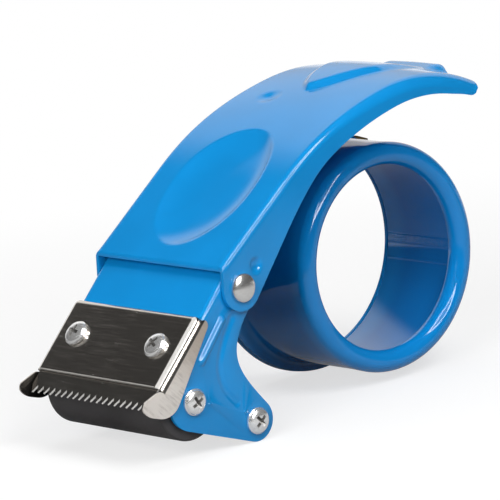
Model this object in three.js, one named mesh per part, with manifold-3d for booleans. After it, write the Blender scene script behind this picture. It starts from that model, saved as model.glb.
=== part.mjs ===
// Packing tape dispenser, hand held, made of pressed and painted steel sheet.
// Units are millimetres. +X runs from the blade to the handle's tail, +Z is up, -Y is the open side of the drum.
// The pieces are laid out around the drum's axis, and at the end the group is moved so that its origin is the
// middle of the bottom of its box.
import * as THREE from 'three';
import { mergeVertices } from 'three/addons/utils/BufferGeometryUtils.js';
import Module from 'manifold-3d';

const wasm = await Module();
wasm.setup();

// Sheet stock, clearances and drawing fineness
const sheet = 1.2;
const seatGap = 0.3;
const sideGap = 0.4;
const cutOver = 1;
const ringSteps = 72;
const roundSteps = 48;
const smallSteps = 24;
const lipSteps = 9;
const flareSteps = 4;
const full = 2 * Math.PI;
const quarter = Math.PI / 2;
const degree = Math.PI / 180;

// Cover: its width, pivot and lobes, and the line of its back: one straight run, then two bends
const coverWidth = 61.4;
const pivotForward = 77.65;
const pivotRise = 8.26;
const lobeRadius = 7.3;
const frontSetback = 0.45;
const lobeToBack = 7.8;
const lobeRearAngle = -39 * degree;
const backSlope = 37.2 * degree;
const backRun = 35.3;
const palmBendRadius = 119;
const palmBendTurn = 25 * degree;
const tailBendRadius = 60;
const tailBendTurn = 38 * degree;
const flangeDepth = 6.4;
const foldRadiusFront = 2;
const foldRadiusTail = 5.2;
const foldDepthShare = 0.85;
const tailCorner = 3;

// Thumb hollow and palm crown, placed along the cover's back from its front edge
const thumbCentre = 31;
const thumbHalfLength = 25;
const thumbHalfWidth = 19;
const thumbDepth = 3.4;
const crownStart = 78.8;
const crownNoseRadius = 5.4;
const crownHalf = 15;
const crownWall = 5;
const crownHeight = 1.8;
const crownSaddle = 0.7;
const crownSaddleStart = 95;
const crownSaddleRun = 23;
const crownTailHeight = 3.4;
const crownTailWall = 6.5;
const crownTailSpread = 2.2;
const crownFlareRun = 8;

// Camber: how much lower the back's edges lie than its middle, once the palm's bend is reached
const camber = 1.3;
const camberStart = 45;
const camberRun = 50;

// Stop dimple pressed into the near flange of the cover, placed from the pivot
const stopReach = 8.5538;
const stopAngle = 43.058 * degree;
const stopRadius = 2.6;
const stopDepth = 0.9;

// Head frame: where its roller axle and guide axle sit, its lugs, and its top plate
const axleForward = 99.9;
const axleDrop = 22.6;
const guideBehindAxle = 24;
const axleLugRadius = 9.1;
const guideLugRadius = 6.6;
const plateOverAxle = 12.76;
const plateOverPivot = 6.9998;
const plateFront = -6.2;
const plateBehindPivot = 6.5939;
const plateFold = 2;
const foldLeg = 4;
const pivotPad = 5.4;
const earReach = 11;
const earRise = 2.2;
const waistPull = 17;
const waistBehindPivot = 3.45;
const waistUnderPivot = 6.86;
const waistStartAngle = 228.7 * degree;
const guideLugStart = 40 * degree;
const axleLugEnd = 168 * degree;
const beadLength = 16;
const beadRadius = 1.7;
const beadHeight = 0.8;
const beadBehindAxle = 9.5;
const beadOverAxle = 16.9;
const beadSlope = 49 * degree;

// Arm and ring that carry the drum: how far the ring laps the drum's flare outside and its wall inside
const rimLap = 0.15;
const ringHoleLap = 0.65;
const armTopAngle = 125 * degree;
const armFootAngle = 208 * degree;
const armFootRise = -11;
const armSag = 3;

// Drum
const drumRadius = 36.8;
const drumLipOver = 0.2;
const drumLipTube = 3.6;
const drumLipCurl = 225 * degree;
const drumLength = 40.2;
const drumFlare = 3.55;
const drumFlareRun = 4.8;

// Blade, its guard and their screws, measured along and above the top plate from the foot under the axle
const bladeTip = 11.8;
const bladeBack = -17;
const bladeThick = 0.6;
const bladeInset = 0.8;
const toothCount = 20;
const toothDepth = 2;
const guardSheet = 0.9;
const guardTop = -22.2;
const guardEdge = 4.2;
const guardFold = 2.4;
const guardRoll = 1.8;
const guardGap = 0.33;
const cheekTopInset = 0.3;
const cheekTopDrop = 3.2;
const cheekTopRound = 2.4;
const cheekHeel = 7.6;
const cheekHeelDrop = 9.6;
const cheekHeelRound = 3;
const cheekToe = 13.6;
const cheekToeRise = 2.2;
const cheekToeRound = 2.4;
const cheekNose = 11.8;
const cheekNoseRise = 4.4;
const cheekNoseRound = 1.4;
const cheekNotch = 5;
const cheekNotchRise = 1.4;
const cheekNotchRound = 2.5;
const bladeScrewBack = 9.4;
const bladeScrewSide = 19.2;

// Pan-head screws, shared by every axle end and by the blade
const screwHeadRadius = 4.15;
const screwHeadHeight = 2.5;
const screwShankRadius = 1.9;
const screwReach = 9;
const screwSlotWidth = 0.8;
const screwSlotDepth = 1.3;
const screwSlotShare = 0.62;
const screwRimShare = 0.3;

// Domed pivot rivets
const rivetHeadRadius = 4.5;
const rivetHeadHeight = 2.1;
const rivetRimShare = 0.2;
const rivetShankRadius = 2.4;
const rivetTailRadius = 3.7;
const rivetTailHeight = 1.2;

// Roller, guide roller and their shafts
const rollerRadius = 12.3;
const rollerBore = 8;
const rollerEndGap = 0.6;
const coreWall = 1.5;
const bushLength = 8;
const axleRadius = 4;
const guideRadius = 5;
const guideBore = 3.6;
const guideAxleRadius = 3.2;
const runGap = 0.3;
const chamfer = 0.5;

// Return spring on its stud, placed around the drum's axis
const springOnRing = 3.35;
const springAngle = 46 * degree;
const springCoilRadius = 4.1;
const springWire = 0.9;
const springPitch = 1.4;
const springWholeTurns = 3;
const springTailAngle = 69 * degree;
const springLegAngle = 42 * degree;
const springTail = 4.5;
const springTouch = 102;
const springSteps = 8;
const springSides = 5;
const studRadius = 1.5;
const studFit = 0.1;
const studShoulder = 3.2;
const studHeadRadius = 4.7;
const studHeadHeight = 0.9;

// Sizes that follow from the ones above
const rimRadius = drumRadius + drumFlare + rimLap;
const ringHole = drumRadius - sheet - ringHoleLap;
const drumLipRadius = drumRadius + drumLipOver;
const springReach = ringHole + springOnRing;
const guardStand = seatGap + bladeThick + guardGap + guardSheet;
const coverHalf = coverWidth / 2;
const frameHalf = coverHalf - sheet - sideGap;
const frameInner = frameHalf - sheet;
const cheekHalf = frameHalf + seatGap + guardSheet;
const pivot = new THREE.Vector2(-pivotForward, pivotRise);
const axle = new THREE.Vector2(-axleForward, -axleDrop);
const guide = new THREE.Vector2(guideBehindAxle - axleForward, guideLugRadius - rimRadius);
const hubAxis = new THREE.Vector2(0, 0);
const acrossAxis = new THREE.Vector3(0, 1, 0);

const paint = { color: 0x2190d8, roughness: 0.3, metalness: 0 };
const bright = { color: 0xc9c6c0, roughness: 0.22, metalness: 1 };
const satin = { color: 0xb5b0a8, roughness: 0.42, metalness: 1 };
const rubber = { color: 0x2b2a2b, roughness: 0.7, metalness: 0 };
const plastic = { color: 0xd8d4c8, roughness: 0.5, metalness: 0 };
const brass = { color: 0xb08d3c, roughness: 0.35, metalness: 1 };

// Small helpers in the plane of a side plate, where a Vector2 holds x and z

function polar(centre, radius, angle) {
  return new THREE.Vector2(centre.x + radius * Math.cos(angle), centre.y + radius * Math.sin(angle));
}

function arc(centre, radius, from, to, steps) {
  const points = [];
  for (let i = 0; i <= steps; i += 1) {
    points.push(polar(centre, radius, from + ((to - from) * i) / steps));
  }
  return points;
}

function smooth(share) {
  const t = Math.min(Math.max(share, 0), 1);
  return t * t * (3 - 2 * t);
}

// An outline whose corners are rounded: each corner is a point and the radius of its round.
function roundedOutline(corners, steps) {
  const points = [];
  for (let i = 0; i < corners.length; i += 1) {
    const before = corners[(i + corners.length - 1) % corners.length][0];
    const [corner, radius] = corners[i];
    const after = corners[(i + 1) % corners.length][0];
    if (radius === 0) {
      points.push(corner.clone());
      continue;
    }
    const back = before.clone().sub(corner).normalize();
    const ahead = after.clone().sub(corner).normalize();
    const half = Math.acos(back.dot(ahead)) / 2;
    const middle = back.clone().add(ahead).normalize();
    const centre = corner.clone().addScaledVector(middle, radius / Math.sin(half));
    const first = corner.clone().addScaledVector(back, radius / Math.tan(half)).sub(centre);
    const last = corner.clone().addScaledVector(ahead, radius / Math.tan(half)).sub(centre);
    const sweep = Math.atan2(first.cross(last), first.dot(last));
    points.push(...arc(centre, radius, first.angle(), first.angle() + sweep, steps));
  }
  return points;
}

// A closed mesh becomes a solid: shared corners are merged and empty triangles are dropped.
function solid(geometry) {
  const bare = geometry.clone();
  bare.deleteAttribute('normal');
  bare.deleteAttribute('uv');
  const merged = mergeVertices(bare);
  const corners = merged.index.array;
  const spot = (i) => new THREE.Vector3().fromBufferAttribute(merged.attributes.position, i);
  const kept = [];
  let volume = 0;
  for (let i = 0; i < corners.length; i += 3) {
    const [a, b, c] = [corners[i], corners[i + 1], corners[i + 2]];
    if (a !== b && b !== c && c !== a) {
      kept.push(a, b, c);
      volume += spot(a).dot(spot(b).cross(spot(c)));
    }
  }
  if (volume < 0) {
    kept.reverse();
  }
  return new wasm.Manifold(new wasm.Mesh({
    numProp: 3,
    vertProperties: Float32Array.from(merged.attributes.position.array),
    triVerts: Uint32Array.from(kept),
  }));
}

function geometryOf(made) {
  const mesh = made.getMesh();
  const geometry = new THREE.BufferGeometry();
  geometry.setAttribute('position', new THREE.BufferAttribute(Float32Array.from(mesh.vertProperties), 3));
  geometry.setIndex(Array.from(mesh.triVerts));
  geometry.computeVertexNormals();
  return geometry;
}

function joined(pieces) {
  return pieces.reduce((whole, piece) => whole.add(piece));
}

function cut(whole, tools) {
  return tools.reduce((left, tool) => left.subtract(tool), whole);
}

// A flat plate: its outline holds x and z, and it fills y from low to high.
function sidePlate(outline, low, high) {
  const geometry = new THREE.ExtrudeGeometry(new THREE.Shape(outline), {
    depth: high - low,
    bevelEnabled: false,
  });
  const turn = new THREE.Matrix4().makeBasis(
    new THREE.Vector3(1, 0, 0),
    new THREE.Vector3(0, 0, 1),
    new THREE.Vector3(0, -1, 0),
  );
  turn.setPosition(0, high, 0);
  return solid(geometry.applyMatrix4(turn));
}

// A turned piece about the Y axis: each point is a radius and a place along the axis.
function turned(points, steps) {
  const profile = points.map(([radius, along]) => new THREE.Vector2(radius, along));
  return new THREE.LatheGeometry(profile, steps);
}

// A round bar along Y through a point of the side view, for bores and holes.
function crossBar(centre, radius, low, high, steps) {
  const bar = new THREE.CylinderGeometry(radius, radius, high - low, steps);
  bar.translate(centre.x, (high + low) / 2, centre.y);
  return solid(bar);
}

// The frame of the top plate, whose slope follows from how far it stands over the axle and over the pivot:
// along runs down its slope from the foot under the axle, up leaves its face.
const pivotArm = pivot.clone().sub(axle);
const plateSlope = pivotArm.angle() - Math.asin((plateOverAxle - plateOverPivot) / pivotArm.length());
const plateDown = new THREE.Vector2(-Math.cos(plateSlope), -Math.sin(plateSlope));
const plateOut = new THREE.Vector2(-Math.sin(plateSlope), Math.cos(plateSlope));
const plateRear = pivotArm.dot(plateDown) - plateBehindPivot;

function onPlate(along, up) {
  return axle.clone().addScaledVector(plateOut, plateOverAxle + up).addScaledVector(plateDown, along);
}

// An outline drawn across the width and above the plate, extruded down the plate's slope.
function plateChannel(outline, from, to) {
  const geometry = new THREE.ExtrudeGeometry(new THREE.Shape(outline), {
    depth: to - from,
    bevelEnabled: false,
  });
  const start = onPlate(to, 0);
  const turn = new THREE.Matrix4().makeBasis(
    new THREE.Vector3(0, 1, 0),
    new THREE.Vector3(plateOut.x, 0, plateOut.y),
    new THREE.Vector3(-plateDown.x, 0, -plateDown.y),
  );
  turn.setPosition(start.x, 0, start.y);
  return solid(geometry.applyMatrix4(turn));
}

// The channel's section: outer half width, how high its face stands, its wall, its fold and its leg.
function channelSection(half, top, wall, fold, leg) {
  const corner = new THREE.Vector2(half - fold, top - fold);
  const outer = arc(corner, fold, 0, quarter, 4);
  const inner = arc(corner, fold - wall, quarter, 0, 4);
  const rightSide = [new THREE.Vector2(half, top - fold - leg), ...outer];
  const innerRight = [...inner, new THREE.Vector2(half - wall, top - fold - leg)];
  const mirror = (points) => points.map((p) => new THREE.Vector2(-p.x, p.y)).reverse();
  return [...rightSide, ...mirror(rightSide), ...mirror(innerRight), ...innerRight];
}

// Cover: a point and a heading on its back, by the length walked from its front edge
const backLength = backRun + palmBendRadius * palmBendTurn + tailBendRadius * tailBendTurn;
const frontCorner = new THREE.Vector2(pivot.x - lobeRadius + frontSetback, pivot.y + lobeToBack);

function backPoint(walked) {
  const run = Math.min(walked, backRun);
  const point = frontCorner.clone();
  point.x += run * Math.cos(backSlope);
  point.y += run * Math.sin(backSlope);
  let heading = backSlope;
  const bends = [[backRun, palmBendRadius, palmBendTurn]];
  bends.push([backRun + palmBendRadius * palmBendTurn, tailBendRadius, tailBendTurn]);
  for (const [start, radius, turn] of bends) {
    const turning = Math.min(Math.max((walked - start) / radius, 0), turn);
    point.x += radius * (Math.sin(heading) - Math.sin(heading - turning));
    point.y += radius * (Math.cos(heading - turning) - Math.cos(heading));
    heading -= turning;
  }
  return { point, heading };
}

// How far the back is pushed out along its normal, by the crown and the thumb hollow.
function backRelief(walked, across) {
  const hollowX = (walked - thumbCentre) / thumbHalfLength;
  const hollowY = across / thumbHalfWidth;
  const hollow = Math.hypot(hollowX, hollowY);
  const bowl = hollow < 1 ? thumbDepth * Math.cos(hollow * quarter) ** 1.5 : 0;
  const nose = Math.sqrt(Math.max(2 * crownNoseRadius * (walked - crownStart), 0));
  const flare = smooth((walked - (backLength - crownFlareRun)) / crownFlareRun);
  const foot = Math.min(nose, crownHalf) + crownTailSpread * flare;
  const wall = THREE.MathUtils.lerp(crownWall, crownTailWall, flare);
  const ridge = smooth((foot - Math.abs(across)) / wall);
  const sink = smooth((walked - crownSaddleStart) / crownSaddleRun);
  const level = THREE.MathUtils.lerp(crownHeight, crownSaddle, sink);
  return THREE.MathUtils.lerp(level, crownTailHeight, flare) * ridge - bowl;
}

// The foot of the cover's edge for a place on its back: round the lobe first, then up the flange.
const lobeEnd = polar(pivot, lobeRadius, lobeRearAngle);
const lobeRun = lobeEnd.clone().sub(frontCorner).dot(new THREE.Vector2(Math.cos(backSlope), Math.sin(backSlope)));
const lobeTangent = new THREE.Vector2(-Math.sin(lobeRearAngle), Math.cos(lobeRearAngle));

function edgeFoot(walked) {
  const { point, heading } = backPoint(walked);
  const inward = new THREE.Vector2(Math.sin(heading), -Math.cos(heading));
  if (walked <= lobeRun) {
    const share = walked / lobeRun;
    const sweep = full + lobeRearAngle - Math.PI;
    return share === 0 ? polar(pivot, lobeRadius, Math.PI) : polar(pivot, lobeRadius, Math.PI + sweep * share);
  }
  const toLine = lobeEnd.clone().sub(point).cross(lobeTangent) / inward.cross(lobeTangent);
  const ease = 1 - (walked - (backLength - tailCorner)) / tailCorner;
  const corner = ease < 1 ? Math.sqrt(Math.max(1 - (1 - ease) ** 2, 0)) : 1;
  const tailDepth = flangeDepth - tailCorner * (1 - corner);
  const depth = Math.max(toLine, tailDepth);
  return point.clone().addScaledVector(inward, depth);
}

// One section of the cover: points across it, on its outside or its inside.
function coverSection(walked, inside) {
  const { point, heading } = backPoint(walked);
  const foot = edgeFoot(walked);
  const down = foot.clone().sub(point);
  const depth = down.length();
  down.normalize();
  const normal = new THREE.Vector2(-Math.sin(heading), Math.cos(heading));
  const square = -down.dot(normal);
  const skin = inside ? sheet : 0;
  const share = smooth((walked - backRun) / (backLength - backRun));
  const fold = Math.min(THREE.MathUtils.lerp(foldRadiusFront, foldRadiusTail, share), depth * foldDepthShare);
  const half = [[coverHalf - skin, depth]];
  const foldSteps = 3;
  for (let i = 0; i <= foldSteps; i += 1) {
    const angle = (quarter * (foldSteps - i)) / foldSteps;
    const across = coverHalf - fold + (fold - skin) * Math.sin(angle);
    half.push([across, fold - (fold - skin / square) * Math.cos(angle)]);
  }
  const flatSteps = 9;
  for (let i = 1; i < flatSteps; i += 1) {
    half.push([((coverHalf - fold) * (flatSteps - i)) / flatSteps, skin / square]);
  }
  const both = [...half.map(([y, d]) => [-y, d]), [0, skin / square], ...[...half].reverse()];
  return both.map(([across, deep]) => {
    const place = point.clone().addScaledVector(down, deep);
    const onBack = smooth((coverHalf - fold - Math.abs(across)) / fold);
    const droop = camber * smooth((walked - camberStart) / camberRun) * (across / coverHalf) ** 2;
    place.addScaledVector(normal, backRelief(walked, across) * onBack - droop * (1 - deep / depth));
    return new THREE.Vector3(place.x, across, place.y);
  });
}

// The ear of each side plate ends short of the cover's stop dimple.
const stop = polar(pivot, stopReach, stopAngle);
const earAngle = stopAngle + Math.asin((stopRadius + seatGap) / stopReach);
const earTip = polar(pivot, earReach, earAngle);

// A closed shell between an outer and an inner grid of points.
function shellOf(outer, inner) {
  const rows = outer.length;
  const columns = outer[0].length;
  const points = [...outer.flat(), ...inner.flat()];
  const index = [];
  const at = (side, row, column) => side * rows * columns + row * columns + column;
  const quad = (a, b, c, d) => index.push(a, b, c, a, c, d);
  for (let r = 0; r < rows - 1; r += 1) {
    for (let c = 0; c < columns - 1; c += 1) {
      quad(at(0, r, c), at(0, r + 1, c), at(0, r + 1, c + 1), at(0, r, c + 1));
      quad(at(1, r, c), at(1, r, c + 1), at(1, r + 1, c + 1), at(1, r + 1, c));
    }
    quad(at(0, r, 0), at(1, r, 0), at(1, r + 1, 0), at(0, r + 1, 0));
    quad(at(0, r, columns - 1), at(0, r + 1, columns - 1), at(1, r + 1, columns - 1), at(1, r, columns - 1));
  }
  for (let c = 0; c < columns - 1; c += 1) {
    quad(at(0, 0, c), at(0, 0, c + 1), at(1, 0, c + 1), at(1, 0, c));
    quad(at(0, rows - 1, c), at(1, rows - 1, c), at(1, rows - 1, c + 1), at(0, rows - 1, c + 1));
  }
  const geometry = new THREE.BufferGeometry().setFromPoints(points);
  geometry.setIndex(index);
  return geometry;
}

function handleCover() {
  const lobeStations = 8;
  const backStations = 28;
  const stations = [];
  for (let i = 0; i <= lobeStations; i += 1) {
    stations.push((lobeRun * i) / lobeStations);
  }
  for (let i = 1; i <= backStations; i += 1) {
    stations.push(lobeRun + ((backLength - lobeRun) * i) / backStations);
  }
  const outer = stations.map((walked) => coverSection(walked, false));
  const inner = stations.map((walked) => coverSection(walked, true));
  const shell = solid(shellOf(outer, inner));
  const cap = new THREE.SphereGeometry(stopRadius, smallSteps / 2, smallSteps / 2);
  cap.scale(1, (stopDepth + sheet) / stopRadius, 1);
  const hollow = new THREE.SphereGeometry(stopRadius - sheet / 2, smallSteps / 2, smallSteps / 2);
  hollow.scale(1, stopDepth / (stopRadius - sheet / 2), 1);
  const bump = solid(cap.translate(stop.x, -coverHalf, stop.y));
  const pit = solid(hollow.translate(stop.x, -coverHalf, stop.y));
  const outside = crossBar(stop, stopRadius + cutOver, -coverHalf - 2 * stopRadius, -coverHalf, smallSteps);
  const bore = crossBar(pivot, rivetShankRadius + runGap, -coverHalf - cutOver, coverHalf + cutOver, smallSteps);
  return geometryOf(cut(shell.add(bump), [outside, pit, bore]));
}

// The side plate's waist begins under the pivot.
const waistStart = new THREE.Vector2(pivot.x + waistBehindPivot, pivot.y - waistUnderPivot);

// The outline of a side plate, walked over the top, down the rear edge, under both lugs and up the front.
function plateOutline() {
  const earBack = onPlate(plateRear, -plateFold).add(new THREE.Vector2(0, -plateFold)).lerp(earTip, 0.5);
  earBack.y += earRise;
  const waistEnd = polar(guide, guideLugRadius, guideLugStart);
  const waist = new THREE.CubicBezierCurve(
    waistStart,
    polar(waistStart, waistPull, waistStartAngle),
    polar(waistEnd, waistPull, guideLugStart + quarter),
    waistEnd,
  );
  const between = axle.clone().sub(guide);
  const sole = between.angle() + Math.acos((guideLugRadius - axleLugRadius) / between.length());
  return [
    onPlate(plateFront, -plateFold),
    onPlate(plateRear, -plateFold),
    earBack,
    earTip,
    ...arc(pivot, pivotPad, earAngle, 0, 6),
    ...waist.getPoints(14),
    ...arc(guide, guideLugRadius, guideLugStart, sole - full, 12).slice(1),
    ...arc(axle, axleLugRadius, sole, axleLugEnd, 8),
  ];
}

function armOutline() {
  const topRing = polar(hubAxis, rimRadius, armTopAngle);
  const footRing = polar(hubAxis, rimRadius, armFootAngle);
  const foot = new THREE.Vector2(waistStart.x - foldLeg, armFootRise);
  const sagged = (from, to, sag) => {
    const middle = from.clone().add(to).divideScalar(2);
    middle.y -= sag;
    return new THREE.QuadraticBezierCurve(from, middle, to);
  };
  const upper = sagged(earTip, topRing, armSag);
  const lower = sagged(footRing, foot, -armSag);
  return [...upper.getPoints(8), ...lower.getPoints(8), pivot.clone()];
}

const stud = polar(hubAxis, springReach, springAngle);

function headFrame() {
  const outline = plateOutline();
  const channel = plateChannel(
    channelSection(frameHalf, 0, sheet, plateFold, foldLeg),
    plateRear,
    plateFront,
  );
  const near = sidePlate(outline, -frameHalf, -frameInner);
  const far = sidePlate(outline, frameInner, frameHalf);
  const arm = sidePlate(armOutline(), frameInner, frameHalf);
  const ring = crossBar(hubAxis, rimRadius, frameInner, frameHalf, ringSteps);
  const opening = crossBar(hubAxis, ringHole, frameInner - cutOver, frameHalf + cutOver, ringSteps);
  const farSide = joined([far, arm, ring]).subtract(opening);
  const through = (centre, radius) => crossBar(centre, radius, -frameHalf - cutOver, frameHalf + cutOver, smallSteps);
  const holes = [
    through(pivot, rivetShankRadius + runGap),
    through(axle, screwShankRadius + runGap),
    through(guide, screwShankRadius + runGap),
    crossBar(stud, studRadius + studFit, frameInner - cutOver, frameHalf + cutOver, smallSteps),
    ...[-1, 1].map((side) => screwBore(side * bladeScrewSide, screwShankRadius + runGap)),
  ];
  return geometryOf(cut(joined([channel, near, farSide, stiffener()]), holes));
}

// The straight bead pressed out of the near side plate.
function stiffener() {
  const bead = new THREE.CapsuleGeometry(beadRadius, beadLength - 2 * beadRadius, 4, 12);
  bead.rotateX(quarter);
  bead.scale(1, (beadHeight + sheet / 2) / beadRadius, 1);
  bead.rotateY(quarter - beadSlope);
  const middle = new THREE.Vector2(axle.x + beadBehindAxle, axle.y + beadOverAxle);
  bead.translate(middle.x, -frameHalf + sheet / 2, middle.y);
  const keep = new THREE.BoxGeometry(2 * beadLength, beadHeight + sheet / 2, 2 * beadLength);
  keep.translate(middle.x, -frameHalf + sheet / 2 - (beadHeight + sheet / 2) / 2, middle.y);
  return solid(bead).intersect(solid(keep));
}

// The drum's sheet: flare, straight wall and rolled lip outside, then back inside.
function hubDrum() {
  const end = frameInner - seatGap;
  const lip = new THREE.Vector2(drumLipRadius - drumLipTube, end - drumLength + drumLipTube);
  const flare = (wall, rimAlong) => new THREE.QuadraticBezierCurve(
    new THREE.Vector2(drumRadius + drumFlare, rimAlong),
    new THREE.Vector2(wall, rimAlong),
    new THREE.Vector2(wall, rimAlong - drumFlareRun),
  ).getPoints(flareSteps);
  const profile = [
    ...flare(drumRadius, end - sheet),
    new THREE.Vector2(drumRadius, lip.y + drumLipTube),
    ...arc(lip, drumLipTube, 0, -drumLipCurl, lipSteps),
    ...arc(lip, drumLipTube - sheet, -drumLipCurl, 0, lipSteps - 2),
    new THREE.Vector2(drumRadius - sheet, lip.y + drumLipTube),
    ...flare(drumRadius - sheet, end).reverse(),
  ];
  profile.push(profile[0].clone());
  return geometryOf(solid(new THREE.LatheGeometry(profile, ringSteps)));
}

// A point above the plate as a place in space.
function platePlace(along, up, across) {
  const flat = onPlate(along, up);
  return new THREE.Vector3(flat.x, across, flat.y);
}

const plateTurn = new THREE.Quaternion().setFromUnitVectors(
  acrossAxis,
  new THREE.Vector3(plateOut.x, 0, plateOut.y),
);

// A round bar square to the plate, for the blade's screws.
function screwBore(across, radius) {
  const bar = new THREE.CylinderGeometry(radius, radius, 4 * guardStand + 2 * plateFold, smallSteps);
  bar.applyQuaternion(plateTurn);
  const middle = platePlace(-bladeScrewBack, 0, across);
  bar.translate(middle.x, middle.y, middle.z);
  return solid(bar);
}

// One cheek of the guard, drawn down the plate's slope and above its face.
function cheekOutline() {
  const corners = [
    [onPlate(guardTop, guardStand - guardFold), 0],
    [onPlate(guardTop + cheekTopInset, -cheekTopDrop), cheekTopRound],
    [onPlate(cheekHeel, -cheekHeelDrop), cheekHeelRound],
    [onPlate(cheekToe, cheekToeRise), cheekToeRound],
    [onPlate(cheekNose, cheekNoseRise), cheekNoseRound],
    [onPlate(cheekNotch, cheekNotchRise), cheekNotchRound],
    [onPlate(guardEdge, guardStand - guardFold), 0],
  ];
  return roundedOutline(corners, 5);
}

function bladeGuard() {
  const section = channelSection(cheekHalf, guardStand, guardSheet, guardFold, foldLeg / 2);
  const plate = plateChannel(section, guardTop + guardRoll, guardEdge);
  const outline = cheekOutline();
  const near = sidePlate(outline, -cheekHalf, -cheekHalf + guardSheet);
  const far = sidePlate(outline, cheekHalf - guardSheet, cheekHalf);
  const centre = new THREE.Vector2(guardTop + guardRoll, guardStand - guardRoll);
  const rolled = [
    ...arc(centre, guardRoll, quarter, Math.PI, 5),
    ...arc(centre, guardRoll - guardSheet, Math.PI, quarter, 5),
  ];
  rolled.push(new THREE.Vector2(centre.x + guardSheet, guardStand - guardSheet));
  rolled.push(new THREE.Vector2(centre.x + guardSheet, guardStand));
  const rollHalf = cheekHalf - guardFold;
  const roll = sidePlate(rolled.map((p) => onPlate(p.x, p.y)), -rollHalf, rollHalf);
  const holes = [-1, 1].map((side) => screwBore(side * bladeScrewSide, screwShankRadius + runGap));
  return geometryOf(cut(joined([plate, near, far, roll]), holes));
}

function cuttingBlade() {
  const half = cheekHalf - guardSheet - bladeInset;
  const pitch = (2 * half) / toothCount;
  const outline = [];
  for (let i = 0; i < toothCount; i += 1) {
    outline.push(new THREE.Vector2(-half + i * pitch, bladeTip - toothDepth));
    outline.push(new THREE.Vector2(-half + (i + 0.5) * pitch, bladeTip));
  }
  outline.push(new THREE.Vector2(half, bladeTip - toothDepth));
  outline.push(new THREE.Vector2(half, bladeBack));
  outline.push(new THREE.Vector2(-half, bladeBack));
  const geometry = new THREE.ExtrudeGeometry(new THREE.Shape(outline), {
    depth: bladeThick,
    bevelEnabled: false,
  });
  const turn = new THREE.Matrix4().makeBasis(
    new THREE.Vector3(0, 1, 0),
    new THREE.Vector3(plateDown.x, 0, plateDown.y),
    new THREE.Vector3(plateOut.x, 0, plateOut.y),
  );
  const seat = onPlate(0, seatGap);
  turn.setPosition(seat.x, 0, seat.y);
  const holes = [-1, 1].map((side) => screwBore(side * bladeScrewSide, screwShankRadius + runGap));
  return geometryOf(cut(solid(geometry.applyMatrix4(turn)), holes));
}

// A cross-slotted pan-head screw: its seat is at zero, its head on +Y and its shank on -Y.
function panScrew(shank) {
  const dome = [];
  for (let i = 0; i <= 5; i += 1) {
    const angle = (quarter * i) / 5;
    dome.push([screwHeadRadius * Math.cos(angle) ** 0.5, screwHeadHeight * THREE.MathUtils.lerp(screwRimShare, 1, Math.sin(angle))]);
  }
  const body = solid(turned([
    [0, -shank],
    [screwShankRadius - chamfer, -shank],
    [screwShankRadius, chamfer - shank],
    [screwShankRadius, 0],
    [screwHeadRadius, 0],
    ...dome.slice(0, -1),
    [0, screwHeadHeight],
  ], smallSteps));
  const slot = new THREE.BoxGeometry(2 * screwHeadRadius * screwSlotShare, 2 * screwSlotDepth, screwSlotWidth);
  slot.translate(0, screwHeadHeight, 0);
  const crossing = slot.clone().rotateY(quarter);
  return geometryOf(cut(body, [solid(slot), solid(crossing)]));
}

// A domed rivet: its seat is at zero, its head on +Y, and its tail is upset behind the grip.
function pivotRivet() {
  const grip = 2 * sheet + sideGap + 2 * seatGap;
  const points = [[0, -grip - rivetTailHeight], [rivetTailRadius - chamfer, -grip - rivetTailHeight]];
  points.push([rivetTailRadius, chamfer - grip - rivetTailHeight], [rivetTailRadius, -grip]);
  points.push([rivetShankRadius, -grip], [rivetShankRadius, 0], [rivetHeadRadius, 0]);
  for (let i = 0; i < 6; i += 1) {
    const angle = (quarter * i) / 6;
    points.push([rivetHeadRadius * Math.cos(angle), rivetHeadHeight * THREE.MathUtils.lerp(rivetRimShare, 1, Math.sin(angle))]);
  }
  points.push([0, rivetHeadHeight]);
  return geometryOf(solid(turned(points, smallSteps)));
}

// A plain tube along Y between two radii.
function tube(inner, outer, low, high, steps) {
  const profile = [[inner, low], [outer - chamfer, low], [outer, low + chamfer], [outer, high - chamfer]];
  profile.push([outer - chamfer, high], [inner, high], [inner, low]);
  return geometryOf(solid(turned(profile, steps)));
}

// A shaft along Y, tapped at both ends for the screws.
function tappedShaft(radius, half) {
  const bore = screwShankRadius + runGap;
  const deep = half - screwReach;
  const profile = [[0, -deep], [bore, -deep], [bore, -half], [radius - chamfer, -half], [radius, chamfer - half]];
  const mirror = profile.map(([r, y]) => [r, -y]).reverse();
  return geometryOf(solid(turned([...profile, ...mirror], smallSteps)));
}

// Spring: a round wire swept along a list of points, closed at both ends.
function sweptWire(points, radius, sides) {
  const rings = points.map((point, i) => {
    const before = points[Math.max(i - 1, 0)];
    const after = points[Math.min(i + 1, points.length - 1)];
    return { point, along: after.clone().sub(before).normalize() };
  });
  let side = new THREE.Vector3(0, 0, 1).cross(rings[0].along).normalize();
  const vertices = [];
  for (const { point, along } of rings) {
    side = side.clone().addScaledVector(along, -side.dot(along)).normalize();
    const other = along.clone().cross(side);
    for (let k = 0; k < sides; k += 1) {
      const angle = (full * k) / sides;
      vertices.push(point.clone()
        .addScaledVector(side, radius * Math.cos(angle))
        .addScaledVector(other, radius * Math.sin(angle)));
    }
  }
  const index = [];
  for (let i = 0; i < points.length - 1; i += 1) {
    for (let k = 0; k < sides; k += 1) {
      const next = (k + 1) % sides;
      const [a, b] = [i * sides + k, i * sides + next];
      index.push(a, b, b + sides, a, b + sides, a + sides);
    }
  }
  const last = (points.length - 1) * sides;
  for (let k = 1; k < sides - 1; k += 1) {
    index.push(0, k + 1, k, last, last + k, last + k + 1);
  }
  const geometry = new THREE.BufferGeometry().setFromPoints(vertices);
  geometry.setIndex(index);
  return geometry;
}

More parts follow.
